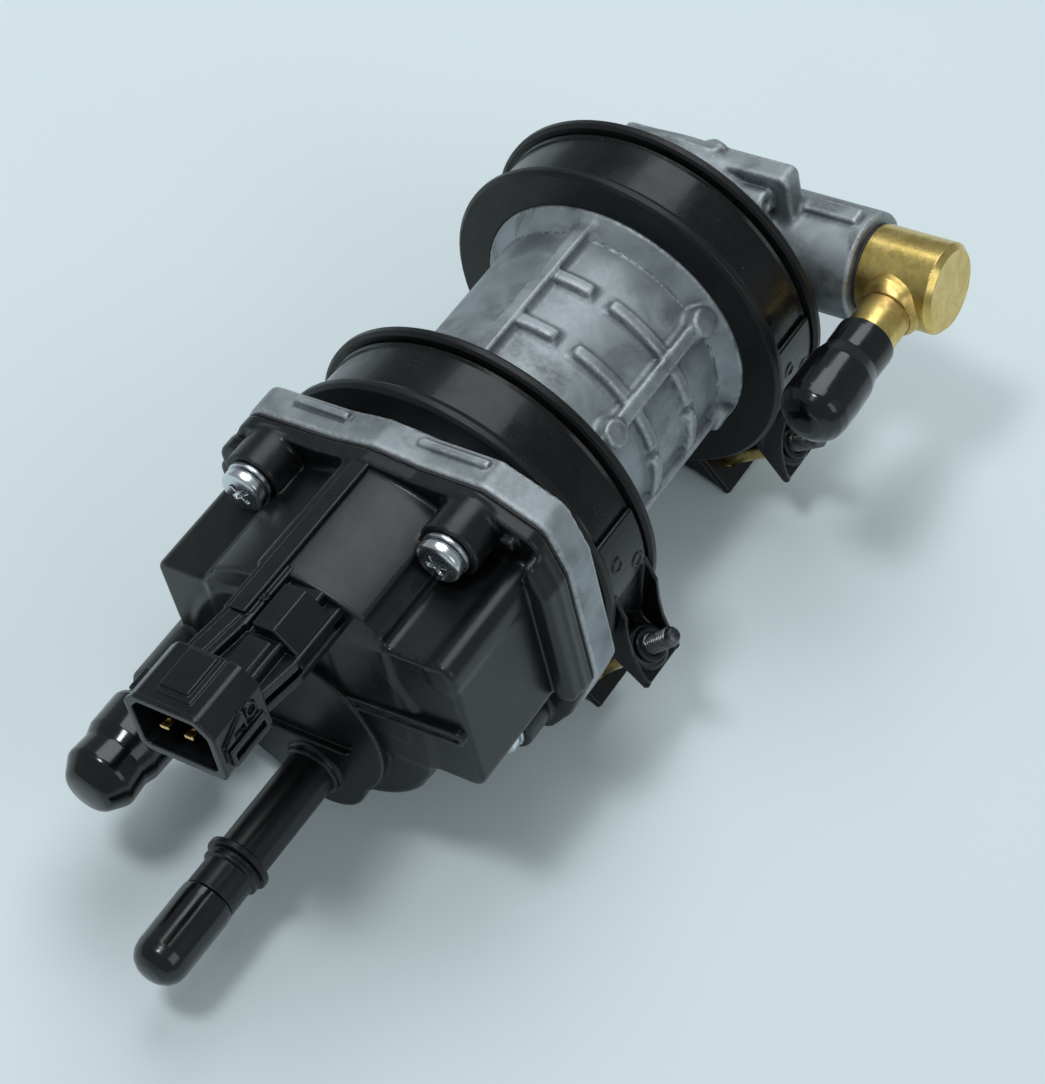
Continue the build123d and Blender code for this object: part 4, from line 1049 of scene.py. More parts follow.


# The colour of its creases is painted shade in the casting's hollows
CAST_ALUMINIUM = Finish(
    "mottled_casting", "cast_aluminium", (0.24, 0.265, 0.28), (0.355, 0.385, 0.405), metallic=0.8,
    rough_low=0.46, rough_high=0.64, grain=Grain.CAST, grain_scale=1.5, grain_depth=0.02,
    edge_wear_and_highlight=(0.56, 0.575, 0.59), crease_shade=(0.085, 0.092, 0.1), stain=(0.11, 0.115, 0.12))
# Its lighter edge colour is a painted highlight along the convex edges
COVER_PLASTIC = Finish(
    "black_nylon", "cover_plastic", (0.0032, 0.0038, 0.0044), (0.0052, 0.006, 0.007), rough_low=0.27,
    rough_high=0.38, grain=Grain.MOULDED, grain_scale=2.4, grain_depth=0.008, edge_wear_and_highlight=(0.028, 0.032, 0.036),
    dust=0.06, specular=0.38)
# Its lighter edge colour is a painted highlight along the convex edges
CONNECTOR_PLASTIC = Finish(
    "connector_plastic", "cover_plastic", (0.0035, 0.0042, 0.005), (0.0058, 0.0066, 0.0078), rough_low=0.23,
    rough_high=0.34, grain=Grain.MOULDED, grain_scale=3.0, grain_depth=0.006, edge_wear_and_highlight=(0.026, 0.03, 0.034),
    specular=0.38)
# Its lighter edge colour is a painted sheen on the rims
ISOLATOR_RUBBER = Finish(
    "ring_rubber", "isolator_rubber", (0.003, 0.0034, 0.0038), (0.005, 0.0056, 0.006), rough_low=0.34,
    rough_high=0.5, grain=Grain.MOULDED, grain_scale=1.2, grain_depth=0.012, edge_wear_and_highlight=(0.01, 0.0105, 0.011),
    edge_wear_and_highlight_share=0.4, dust=0.12, specular=0.34)
BAND_COAT = Finish(
    "band_coat", "black_coated_steel", (0.003, 0.0032, 0.0036), (0.005, 0.0054, 0.006), rough_low=0.16,
    rough_high=0.34, grain=Grain.MOULDED, grain_scale=0.5, grain_depth=0.03, coat=0.12, coat_roughness=0.08,
    dust=0.15, specular=0.24)
CAP_VINYL = Finish(
    "dipped_vinyl", "cap_vinyl", (0.0022, 0.0024, 0.0028), (0.0036, 0.004, 0.0044), rough_low=0.13,
    rough_high=0.24, grain=Grain.MOULDED, grain_scale=0.3, grain_depth=0.02, coat=0.25, coat_roughness=0.08,
    specular=0.4)
# The colour of its creases is painted shade in the cross recesses and creases
BRIGHT_ZINC = Finish(
    "zinc_plating", "bright_zinc", (0.72, 0.74, 0.76), (0.62, 0.65, 0.68), metallic=1.0, rough_low=0.14,
    rough_high=0.32, grain_scale=1.6, grain_depth=0.012, edge_wear_and_highlight=(0.85, 0.86, 0.87), crease_shade=(0.18, 0.18, 0.18))
# The colour of its creases is painted shade in the creases
DARK_BOLT = Finish(
    "dark_bolt", "black_bolt", (0.022, 0.023, 0.025), (0.04, 0.042, 0.045), metallic=0.7, rough_low=0.2,
    rough_high=0.36, grain_scale=2.2, grain_depth=0.01, edge_wear_and_highlight=(0.2, 0.2, 0.2), crease_shade=(0.008, 0.008, 0.008))
BRASS = Finish(
    "pin_brass", "brass", (0.75, 0.52, 0.20), (0.66, 0.43, 0.15), metallic=1.0, rough_low=0.2,
    rough_high=0.34, grain_scale=3.0, grain_depth=0.01, edge_wear_and_highlight=(0.9, 0.74, 0.4))
DARK_RUBBER = Finish(
    "seal_rubber", "dark_rubber", (0.012, 0.012, 0.013), (0.02, 0.02, 0.021), rough_low=0.5, rough_high=0.68,
    grain=Grain.MOULDED, grain_scale=1.8, grain_depth=0.02)
PLATED_STEEL = Finish(
    "drawn_steel", "plated_steel", (0.55, 0.56, 0.57), (0.46, 0.47, 0.49), metallic=1.0, rough_low=0.22,
    rough_high=0.4, grain=Grain.BRUSHED, grain_scale=2.0, grain_depth=0.008)
COPPER = Finish(
    "copper_wire", "copper", (0.72, 0.33, 0.16), (0.58, 0.24, 0.11), metallic=1.0, rough_low=0.25,
    rough_high=0.42, grain=Grain.BRUSHED, grain_scale=2.5, grain_depth=0.02)
BELL_PLASTIC = Finish(
    "bell_nylon", "bell_plastic", (0.16, 0.155, 0.145), (0.21, 0.20, 0.19), rough_low=0.4, rough_high=0.55,
    grain=Grain.MOULDED, grain_scale=2.0, grain_depth=0.012)
MAGNET = Finish(
    "magnet_ferrite", "magnet", (0.045, 0.047, 0.05), (0.07, 0.072, 0.075), metallic=0.2, rough_low=0.45,
    rough_high=0.6, grain=Grain.CAST, grain_scale=2.0, grain_depth=0.02)
CARBON = Finish(
    "pressed_carbon", "carbon", (0.03, 0.03, 0.032), (0.05, 0.05, 0.052), rough_low=0.5, rough_high=0.65,
    grain=Grain.CAST, grain_scale=2.5, grain_depth=0.02)

# The finish of each material slot, for the CAD nodes that stay
FINISHES = {finish.slot: finish for finish in (
    CAST_ALUMINIUM, COVER_PLASTIC, ISOLATOR_RUBBER, BAND_COAT, CAP_VINYL, BRIGHT_ZINC, DARK_BOLT, BRASS,
    DARK_RUBBER, PLATED_STEEL, COPPER, BELL_PLASTIC, MAGNET, CARBON)}


@dataclass(frozen=True)
class BrazedBrass(Coating):
    """Brass that was heated for brazing: golden, with a copper and brown stain round the joint."""

    name: str
    joint: Spot
    slot: str = "brass"
    reach: float = 11.0

    def paint(self, graph: Graph) -> None:
        """Lays the stain, the scorched spots and the lighter rubbed edges over patchy gold.

        Args:
            graph: The graph of the new material.
        """
        patch = graph.noise(0.22, 5.0, distortion=1.2)
        smear = graph.noise(0.55, 5.0, distortion=0.8)
        colour = graph.colour(graph.span(patch, 0.35, 0.65), (0.74, 0.55, 0.19), (0.6, 0.43, 0.13))
        heat = graph.near(self.joint, self.reach * 0.25, self.reach)
        stain = graph.span(graph.plus(heat, graph.times(smear, 0.7)), 0.75, 1.25)
        colour = graph.colour(stain, colour, (0.33, 0.15, 0.06))
        scorch = graph.span(graph.times(heat, patch), 0.42, 0.62)
        colour = graph.colour(scorch, colour, (0.13, 0.075, 0.045))
        edge_wear_and_highlight = graph.times(graph.span(graph.relief(), 0.15, 0.7), 0.6)
        colour = graph.colour(edge_wear_and_highlight, colour, (0.9, 0.72, 0.36))
        roughness = graph.span(graph.plus(smear, heat), 0.4, 1.5, 0.24, 0.5)
        fine = graph.bump(graph.noise(2.2, 4.0, (1.0, 0.25, 1.0)), 0.4, 0.015)
        graph.surface(colour, roughness, graph.bump(graph.noise(0.6, 3.0), 0.4, 0.04, fine), 1.0)


@dataclass(frozen=True)
class BoltFinish(Coating):
    """Yellow zinc on a bolt's shank between the ears, and dark oiled threads from the change outwards."""

    name: str
    foot: Spot
    axis: Spot
    change: float
    slot: str = "black_bolt"

    def paint(self, graph: Graph) -> None:
        """Changes from one colour to the other along the bolt, within 0.8 mm.

        Args:
            graph: The graph of the new material.
        """
        dark = graph.span(graph.along(self.foot, self.axis), self.change - 0.4, self.change + 0.4)
        patch = graph.noise(0.8, 4.0)
        share = graph.span(patch, 0.35, 0.65)
        yellow = graph.colour(share, (0.66, 0.50, 0.20), (0.52, 0.37, 0.13))
        thread = graph.colour(share, (0.07, 0.072, 0.075), (0.14, 0.145, 0.15))
        fine = graph.bump(graph.noise(2.5, 3.0), 0.4, 0.012)
        graph.surface(graph.colour(dark, yellow, thread), graph.span(patch, 0.3, 0.7, 0.2, 0.4), fine, 0.95)


def show(surface: Surface, name: str, finish: Coating, *nodes: str, placement: Placement = Placement(),
         body: str = "pump") -> None:
    """Adds a surface as a piece that rides on a body and stands for some nodes.

    Args:
        surface: The surface in its sub-assembly's frame.
        name: The piece's name.
        finish: Its finish, which also says its material slot.
        nodes: The nodes that it stands for.
        placement: How its frame lies in the shared one.
        body: The body that it rides on.
    """
    piece = surface.placed(placement).to_object(name, finish.material())
    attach(piece, body)
    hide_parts(*nodes)
    LOG.info("%s: %d points, %d faces", name, len(surface.points), sum(len(f) for f in surface.faces))


# Sub-assemblies


@dataclass
class Housing:
    """The aluminium casting: bolted flange, ribbed barrel, rear block and the port for the elbow."""

    flange_points: Sequence[Point] = (
        (-29.0, 39.2), (-9.0, 39.6), (2.0, 41.2), (14.0, 40.0), (29.0, 40.0), (42.4, 33.4), (45.8, 22.0),
        (45.8, -9.5), (40.2, -20.2), (33.6, -28.0), (24.0, -31.0), (12.0, -37.6), (-12.0, -37.6),
        (-25.0, -31.0), (-40.6, -28.0), (-42.0, -14.0), (-40.2, 22.0))
    flange_corner: float = 4.6
    flange_front: float = -52.0
    flange_back: float = -44.0
    flange_bars: Sequence[Form] = (
        Form(((-21.0, -47.5), (-7.5, -45.7)), 0.5, 34.0, 40.9, 0.4, Axis.Z),
        Form(((10.3, -47.5), (27.1, -45.7)), 0.5, 34.0, 40.9, 0.4, Axis.Z))
    screw_points: Sequence[Point] = ((-21.6, 33.0), (27.4, 33.4), (28.6, -19.9), (-28.1, -20.5))
    screw_hole: float = 2.55
    barrel: Sequence[Point] = (
        (-6.0, -50.0), (33.0, -50.0), (33.0, -18.0), (29.0, -14.0), (29.0, 27.0), (33.0, 31.0), (33.0, 52.0),
        (26.5, 52.0), (26.5, 65.5), (14.0, 79.0), (-6.0, 79.0))
    bore: float = 24.2
    bore_end: float = 48.0
    passage: float = 11.0
    port_bore: float = 8.95
    port_bore_end: float = 29.4
    port_passage: float = 6.9
    relief_root: float = 26.0
    rib_top: float = 31.6
    rib_half: float = 1.8
    rib_span: tuple[float, float] = (-19.0, 32.0)
    rib_angles: Sequence[float] = (90.0, 27.0, -27.0)
    stub_top: float = 30.9
    stub_half: float = 1.5
    stub_planes: Sequence[float] = (-0.5, 14.0)
    stub_sweeps: Sequence[tuple[float, float]] = ((69.0, 92.0), (25.0, 60.0), (4.0, 29.0), (-29.0, -2.0))
    pad_top: float = 32.8
    pad_radius: float = 3.2
    pad_planes: Sequence[float] = (-9.5, 26.5)
    port_radius: float = 12.7
    port_end: float = 45.4
    port_rib: Form = Form(((PORT_Y - 1.1, 0.0), (PORT_Y + 3.3, 14.0)), 0.6, 21.5, 43.0, 0.7, Axis.X)
    rear_block: Form = Form(((-16.0, 0.0), (29.0, 24.0)), 2.2, 63.6, 69.6, 0.9)
    plug_at: Point = (61.0, 18.0)
    plug_radius: float = 3.2
    plug_hole: float = 1.3
    plug_end: float = 24.8
    web_foot: Point = (-4.2, 64.5)
    web_run: Point = (14.2, 3.9)
    web_half: float = 0.9
    knob_at: Point = (8.0, 67.4)
    knob_radius: float = 2.3
    cell: float = 0.87

    def outline(self, x: Array, z: Array, inset: float = 0.0) -> Array:
        """Distance to the flange's outline, moved in a little for what lies on the flange."""
        return polygon(x, z, shrink(self.flange_points, inset), self.flange_corner)

    def ribs(self, points: Array) -> Array:
        """Distance to the long ribs, the short stubs across the barrel and the round pads on the ribs.

        Args:
            points: Points in the casting's frame.

        Returns:
            The lowest distance to any of them.
        """
        x, y, z = points.T
        root = self.relief_root
        radius, angle = np.hypot(x, z), np.degrees(np.arctan2(z, x))
        found = np.full(len(points), np.inf)
        for rib in self.rib_angles:
            way = math.radians(rib)
            out, side = x * math.cos(way) + z * math.sin(way), z * math.cos(way) - x * math.sin(way)
            bar = box(out, side, root, self.rib_top, -self.rib_half, self.rib_half, 0.7)
            found = np.minimum(found, prism(bar, y, *self.rib_span, 0.5))
            for pad in self.pad_planes if rib < 90.0 else ():
                pad_disc = disc(side, y, (0.0, pad), self.pad_radius)
                found = blend(found, prism(pad_disc, out, root, self.pad_top, 0.7), 1.2)
        for plane in self.stub_planes:
            belt = box(radius, y, root, self.stub_top, plane - self.stub_half, plane + self.stub_half, 0.7)
            for first, last in self.stub_sweeps:
                # Degrees become millimetres on a circle of 30 mm
                reach = (np.abs(angle - (first + last) / 2) - (last - first) / 2) * math.radians(30.0)
                found = blend(found, common(belt, reach, 1.0), 0.8)
        return found

    def port(self, points: Array) -> Array:
        """Distance to the inlet port, square to the pump axis, with its stiffening rib.

        Args:
            points: Points in the sub-assembly's frame.

        Returns:
            The distance, below zero inside.
        """
        x, y, z = points.T
        barrel = prism(disc(y, z, (PORT_Y, 0.0), self.port_radius), x, -2.0, self.port_end, 0.7)
        return blend(barrel, self.port_rib.distance(points), 1.2)

    def rear(self, points: Array) -> Array:
        """Distance to the block behind the rear seat, with the plug boss in front of it and its knob.

        Args:
            points: Points in the casting's frame.

        Returns:
            The distance. The knob stands on a slanted web across the top of the block.
        """
        x, y, z = points.T
        boss = prism(disc(y, z, self.plug_at, self.plug_radius), x, 12.0, self.plug_end, 0.6)
        web = prism(segment(x, y, self.web_foot, self.web_run) - self.web_half, z, 20.0, 24.9, 0.4)
        knob = prism(disc(x, y, self.knob_at, self.knob_radius), z, 20.0, 25.3, 0.6)
        return blend(blend(self.rear_block.distance(points), boss, 1.6), blend(web, knob, 0.8), 0.8)

    def hollows(self, points: Array) -> Array:
        """Distance to the cartridge bore, the passage to the port and the threaded holes.

        Args:
            points: Points in the sub-assembly's frame.

        Returns:
            The distance, below zero inside.
        """
        x, y, z = points.T
        radius = np.hypot(x, z)
        port = disc(y, z, (PORT_Y, 0.0), 0.0)
        tools = [prism(radius - self.bore, y, -60.0, self.bore_end, 0.4),
                 prism(radius - self.passage, y, 40.0, PORT_Y, 0.4),
                 prism(port - self.port_bore, x, self.port_bore_end, 60.0, 0.4),
                 prism(port - self.port_passage, x, 0.0, 60.0, 0.4),
                 prism(disc(y, z, self.plug_at, self.plug_hole), x, 24.0, 30.0, 0.2)]
        tools += [prism(disc(x, z, at, self.screw_hole), y, -60.0, -45.0, 0.2) for at in self.screw_points]
        return np.minimum.reduce(tools)

    def field(self, points: Array) -> Array:
        """Distance to the whole casting.

        Args:
            points: Points in the sub-assembly's frame.

        Returns:
            The distance, below zero inside.
        """
        x, y, z = points.T
        body = polygon(np.hypot(x, z), y, self.barrel, 0.7)
        body = blend(body, self.ribs(points), 1.8)
        flange = prism(self.outline(x, z), y, self.flange_front, self.flange_back, 0.8)
        body = blend(body, build_up(flange, points, self.flange_bars, 0.6), 2.0)
        body = blend(body, self.rear(points), 2.0)
        body = blend(body, self.port(points), 2.4)
        return cut(body, self.hollows(points), 0.5)

    def build(self) -> None:
        """Builds the casting and dresses it."""
        casting = FieldMesher(self.field, (-43.0, -52.5, -38.5), (46.5, 79.5, 42.0), self.cell).mesh()
        show(casting, "housing_casting", CAST_ALUMINIUM, "housing")


COVER_FRONT = -86.0
COVER_BACK = -54.5
NECK_FRONT = -111.5
NECK_BASE = ((-3.4, NECK_FRONT), (15.2, NECK_FRONT), (17.0, -101.0), (17.0, -85.0), (-3.4, -85.0))
NECK_PLATE = ((-2.6, NECK_FRONT), (3.6, NECK_FRONT), (5.2, -101.0), (5.2, -97.2), (-0.9, -97.2))
NECK_STRIP = ((-1.2, NECK_FRONT), (1.9, NECK_FRONT), (3.6, -98.4), (0.6, -98.4))
NECK_ROOF = ((7.0, 30.0), (16.4, 30.0), (16.4, 34.8), (12.2, 40.0), (7.0, 40.0))


@dataclass
class Cover:
    """The moulded cover: flange, domes, boxes, screw bosses, connector and two spigots."""

    housing: Housing
    inset: float = 0.3
    flange_front: float = -56.2
    flange_back: float = -52.6
    gasket_inset: float = 0.45
    gasket_front: float = -52.62
    gasket_back: float = -51.98
    right_dome: float = 39.3
    left_dome: float = 35.0
    middle_dome: float = 29.5
    chamber_at: Point = (-6.0, -8.0)
    chamber_radius: float = 22.4
    chamber_face: float = -88.4
    floor_at: Point = (-6.1, -5.0)
    floor_radius: float = 15.6
    floor_top: float = -14.6
    floor_face: float = -86.6
    relief_back: float = -84.6
    outlet_base: float = 12.2
    outlet_collar: float = 6.5
    outlet_collar_face: float = -90.4
    return_root: float = 8.6
    return_root_face: float = -99.5
    large_box: Form = Form(((10.0, -9.8), (40.8, 25.9)), 3.0, COVER_FRONT, COVER_BACK, 1.1)
    ridge: Form = Form(((34.6, 18.7), (40.8, 26.7)), 3.0, COVER_FRONT, COVER_BACK, 1.1)
    small_box: Form = Form(((-33.0, 3.0), (-5.0, 26.0)), 3.0, COVER_FRONT, COVER_BACK, 1.1)
    hook: Form = Form(((35.4, 31.6), (38.4, 34.0)), 0.5, -58.2, COVER_BACK, 0.5)
    rib_foot: Point = (8.0, 4.5)
    rib_run: Point = (30.4, 2.1)
    rib_half: float = 1.9
    boss_radius: float = 6.7
    boss_face: float = -64.4
    channel: float = 5.9
    screw_hole: float = 2.7
    neck_body: Form = Form(((-1.0, 28.4), (13.6, 37.2)), 0.6, NECK_FRONT, -85.4, 0.4)
    neck_forms: Sequence[Form] = (
        # The plate on the left with a strip on it, the block on the right and the roof behind it
        Form(NECK_PLATE, 0.3, 30.0, 39.3, 0.35, Axis.Z),
        Form(NECK_STRIP, 0.2, 30.0, 39.8, 0.25, Axis.Z),
        Form(((7.2, 30.0), (12.9, 39.0)), 0.4, NECK_FRONT, -101.5, 0.35),
        Form(NECK_ROOF, 0.35, -99.8, -88.4, 0.5),
        # The two rails round the neck
        Form(NECK_BASE, 0.3, 32.2, 34.4, 0.4, Axis.Z),
        Form(NECK_BASE, 0.3, 28.6, 30.4, 0.4, Axis.Z),
        # The spine along the dome, with a ledge on its left and a short edge on its right
        Form(((0.2, 26.0), (4.2, 40.4)), 0.4, -98.2, -54.4, 0.35),
        Form(((-1.5, 26.0), (1.0, 39.2)), 0.3, -98.2, -63.5, 0.3),
        Form(((3.0, 26.0), (5.6, 39.2)), 0.3, -100.2, -84.0, 0.3))
    connector_front: float = -125.5
    connector_back: float = -110.5
    crown: Sequence[Point] = (
        (-4.9, 25.6), (16.2, 25.6), (16.6, 38.4), (13.4, 42.2), (-1.8, 42.2), (-4.9, 39.4))
    mouth: Form = Form(((-3.4, 27.6), (14.6, 27.6), (14.9, 37.6), (12.3, 40.6), (-1.2, 40.6), (-3.4, 38.3)),
                       1.4, -130.0, -113.5, 0.3)
    pads: Sequence[Form] = (
        Form(((1.7, 40.0), (10.3, 42.6)), 0.35, -122.6, -110.6, 0.3),
        Form(((1.8, 40.0), (8.9, 43.2)), 0.35, -121.2, -111.4, 0.3))
    lug: Form = Form(((-7.8, 34.6), (-4.0, 37.4)), 0.5, -121.4, -115.6, 0.4)
    latch_wedge: Form = Form(((-124.4, 33.6), (-117.0, 33.6), (-117.0, 38.2)), 0.3, 15.0, 17.3, 0.2, Axis.X)
    latch_hole: Form = Form(((-120.8, 33.0), (-117.6, 35.4)), 0.3, 16.0, 19.0, 0.2, Axis.X)
    pins: Sequence[float] = (3.0, 9.0)
    pin_half: float = 1.1
    pin_low: float = 34.2
    pin_high: float = 35.0
    pin_tip: float = -124.9
    outlet_tube: Sequence[Point] = (
        (3.1, 86.0), (5.7, 86.0), (5.7, 115.2), (7.3, 115.4), (7.3, 116.9), (5.9, 117.2), (5.9, 118.1),
        (6.5, 118.3), (6.5, 119.1), (5.75, 119.5), (5.75, 126.2), (4.75, 126.4), (4.75, 145.0), (3.1, 145.0))
    outlet_tube_radii: Sequence[float] = (
        0.1, 0.1, 0.3, 0.4, 0.4, 0.2, 0.2, 0.25, 0.25, 0.2, 0.2, 0.2, 0.6, 0.4)
    return_tube: Sequence[Point] = (
        (3.9, 86.0), (7.4, 86.0), (7.4, 93.0), (7.0, 93.4), (5.9, 93.6), (5.9, 110.6), (7.4, 111.2),
        (7.4, 112.8), (5.9, 113.6), (5.9, 124.8), (3.9, 124.8))
    return_tube_radii: Sequence[float] = (0.1, 0.1, 0.3, 0.3, 0.3, 0.3, 0.5, 0.5, 0.3, 0.7, 0.4)
    cell: float = 0.64
    relief_cell: float = 0.36
    connector_cell: float = 0.28
    tip_cell: float = 0.16
    leg_cell: float = 0.34
    gasket_cell: float = 0.5

    def shell(self, points: Array) -> Array:
        """Distance to the domes and boxes that stand on the flange.

        Args:
            points: Points in the casting's frame.

        Returns:
            The distance to their union, with small fillets between them and round front edges.
        """
        x, y, z = points.T
        radius = np.hypot(x, z)
        right = common(radius - self.right_dome, box(x, z, -3.0, 24.6, -3.0, 44.0, 0.5), 2.0)
        left = common(radius - self.left_dome, box(x, z, -19.6, 3.0, -3.0, 44.0, 0.5), 2.5)
        found = prism(right, y, COVER_FRONT, COVER_BACK, 0.75)
        found = blend(found, prism(left, y, COVER_FRONT, COVER_BACK, 0.8), 0.8)
        found = blend(found, prism(radius - self.middle_dome, y, COVER_FRONT, COVER_BACK, 1.0), 1.0)
        found = blend(found, self.large_box.distance(points), 2.2)
        found = blend(found, self.ridge.distance(points), 1.2)
        bump = prism(disc(x, z, (-31.0, 28.6), 4.6), y, -58.6, COVER_BACK, 0.8)
        found = np.minimum(found, np.minimum(bump, self.hook.distance(points)))
        return blend(found, self.small_box.distance(points), 1.6)

    def chamber(self, x: Array, z: Array) -> Array:
        """Distance to the chamber's outline: a large disc with a smaller one round the outlet."""
        return blend(disc(x, z, self.chamber_at, self.chamber_radius),
                     disc(x, z, OUTLET_AT, self.outlet_base), 2.0)

    def relief(self, points: Array) -> Array:
        """Distance to what stands on the front face: chamber with its curved lip, inclined rib and collar.

        Args:
            points: Points in the sub-assembly's frame.

        Returns:
            The distance, below zero inside.
        """
        x, y, z = points.T
        chamber = prism(self.chamber(x, z), y, self.chamber_face, self.relief_back, 0.6)
        floor = common(disc(x, z, self.floor_at, self.floor_radius), self.floor_top - z, 1.5)
        chamber = cut(chamber, prism(floor, y, -95.0, self.floor_face, 0.3), 0.35)
        line = segment(x, z, self.rib_foot, self.rib_run) - self.rib_half
        rib = prism(line, y, COVER_FRONT - 1.6, COVER_FRONT + 1.4, 0.35)
        rib = cut(rib, prism(line + 1.1, y, COVER_FRONT - 3.0, COVER_FRONT - 1.1, 0.1), 0.2)
        collar = prism(disc(x, z, OUTLET_AT, self.outlet_collar), y, self.outlet_collar_face,
                       self.relief_back, 0.7)
        return blend(blend(chamber, rib, 0.3), collar, 1.2)

    def bosses(self, points: Array) -> Array:
        """Distance to the screw bosses, the root of the return spigot and the bead along the right rim.

        Args:
            points: Points in the sub-assembly's frame.

        Returns:
            The distance, below zero inside.
        """
        x, y, z = points.T
        found = prism(disc(x, z, RETURN_AT, self.return_root), y, self.return_root_face, -56.0, 0.9)
        for point in self.housing.screw_points:
            boss = prism(disc(x, z, point, self.boss_radius), y, self.boss_face, COVER_BACK, 0.6)
            found = blend(found, boss, 0.9)
        bead = common(self.housing.outline(x, z, self.inset), 40.8 - x, 1.5)
        bead = common(bead, np.abs(z - 10.3) - 20.0, 1.5)
        return blend(found, prism(bead, y, -60.4, COVER_BACK, 1.6), 0.8)

    def field(self, points: Array) -> Array:
        """Distance to the moulding, with its driver channels, screw holes and hollow back.

        Args:
            points: Points in the sub-assembly's frame.

        Returns:
            The distance, below zero inside.
        """
        x, y, z = points.T
        body = prism(self.housing.outline(x, z, self.inset), y, self.flange_front, self.flange_back, 0.7)
        body = blend(body, self.shell(points), 1.2)
        body = blend(body, prism(self.chamber(x, z), y, -86.2, -56.0, 0.3), 0.8)
        body = blend(body, self.bosses(points), 1.0)
        for point in self.housing.screw_points:
            body = cut(body, prism(disc(x, z, point, self.channel), y, -90.0, self.boss_face, 0.2), 0.5)
            body = cut(body, prism(disc(x, z, point, self.screw_hole), y, -70.0, -50.0, 0.2), 0.3)
        return cut(body, prism(np.hypot(x, z) - self.housing.bore, y, -83.0, -50.0, 1.5), 0.5)

    def neck(self, points: Array) -> Array:
        """Distance to what carries the connector: neck with plates and rails, and the spine on the dome.

        Args:
            points: Points in the sub-assembly's frame.

        Returns:
            The distance, below zero inside.
        """
        x, y, z = points.T
        body = build_up(self.neck_body.distance(points), points, self.neck_forms, 0.25)
        mark = prism(np.abs(disc(x, y, (4.9, -93.0), 0.75)) - 0.2, z, 38.6, 39.5, 0.1)
        return blend(body, mark, 0.25)

    def connector_field(self, points: Array) -> Array:
        """Distance to the connector: shell with its socket, pads on top, and a latch on its right side.

        Args:
            points: Points in the casting's frame.

        Returns:
            The distance, with the neck behind it and the slots of the two blades.
        """
        x, y, z = points.T
        section = polygon(x, z, self.crown, 2.0)
        shell = prism(section, y, self.connector_front, self.connector_back, 0.3)
        # A thin lip round the mouth
        shell = np.minimum(shell, prism(section - 0.18, y, -125.4, -124.3, 0.15))
        body = blend(build_up(shell, points, self.pads, 0.2), self.lug.distance(points), 0.3)
        body = blend(body, self.neck(points), 0.3)
        # The latch on the right side: an open frame, a ring and a wedge with a hole in it
        hole = box(y, z, -122.4, -113.2, 29.5, 31.5, 0.4)
        frame = np.maximum(box(y, z, -123.4, -112.2, 28.2, 32.8, 0.6), -hole)
        body = blend(body, prism(frame, x, 14.8, 17.7, 0.25), 0.25)
        ring = np.abs(disc(y, z, (-115.0, 36.2), 1.35)) - 0.3
        body = blend(body, prism(ring, x, 15.0, 17.3, 0.15), 0.2)
        body = blend(body, self.latch_wedge.distance(points), 0.2)
        body = cut(body, self.latch_hole.distance(points), 0.2)
        # The socket and the slots that the blades come through
        body = cut(body, self.mouth.distance(points), 0.3)
        for pin in self.pins:
            slot = box(x, z, pin - 1.15, pin + 1.15, 34.15, 35.05, 0.05)
            body = cut(body, prism(slot, y, -116.0, -82.0, 0.05), 0.05)
        return body

    def beside(self, x: Array) -> Array:
        """Returns how far aside of the nearer blade's middle a point lies."""
        return np.minimum(np.abs(x - self.pins[0]), np.abs(x - self.pins[1]))

    def blades(self, points: Array) -> Array:
        """Distance to the ends of the two blades, each with a bevelled tip and a dimple.

        Args:
            points: Points in the sub-assembly's frame.

        Returns:
            The distance, below zero inside.
        """
        x, y, z = points.T
        aside = self.beside(x)
        side = box(y, z, self.pin_tip, -113.0, self.pin_low, self.pin_high, 0.15)
        blade = prism(side, aside, -2.0, self.pin_half, 0.3)
        return cut(blade, prism(np.hypot(aside, y + 123.4) - 0.5, z, 34.7, 36.0, 0.1), 0.1)

    def legs(self, points: Array) -> Array:
        """Distance to the rest of the two blades, and their legs at the back.

        Args:
            points: Points in the sub-assembly's frame.

        Returns:
            The distance, below zero inside.
        """
        x, y, z = points.T
        side = np.minimum(box(y, z, -113.2, -82.0, self.pin_low, self.pin_high, 0.1),
                          box(y, z, -82.8, -82.0, 20.0, self.pin_high, 0.1))
        return prism(side, self.beside(x), -2.0, self.pin_half, 0.1)

    def gasket_field(self, points: Array) -> Array:
        """Distance to the thin gasket between housing and cover.

        Args:
            points: Points in the sub-assembly's frame.

        Returns:
            The distance, below zero inside.
        """
        x, y, z = points.T
        ring = np.maximum(self.housing.outline(x, z, self.gasket_inset), 24.6 - np.hypot(x, z))
        return prism(ring, y, self.gasket_front, self.gasket_back, 0.1)

    def spigots(self) -> list[Surface]:
        """Returns the two turned spigots, each a tube with beads, open at its end.

        Returns:
            The outlet's tube and the return's.
        """
        tubes = ((self.outlet_tube, self.outlet_tube_radii, OUTLET_AT),
                 (self.return_tube, self.return_tube_radii, RETURN_AT))
        return [turned(corners, radii, (x, 0.0, z), FORWARD) for corners, radii, (x, z) in tubes]

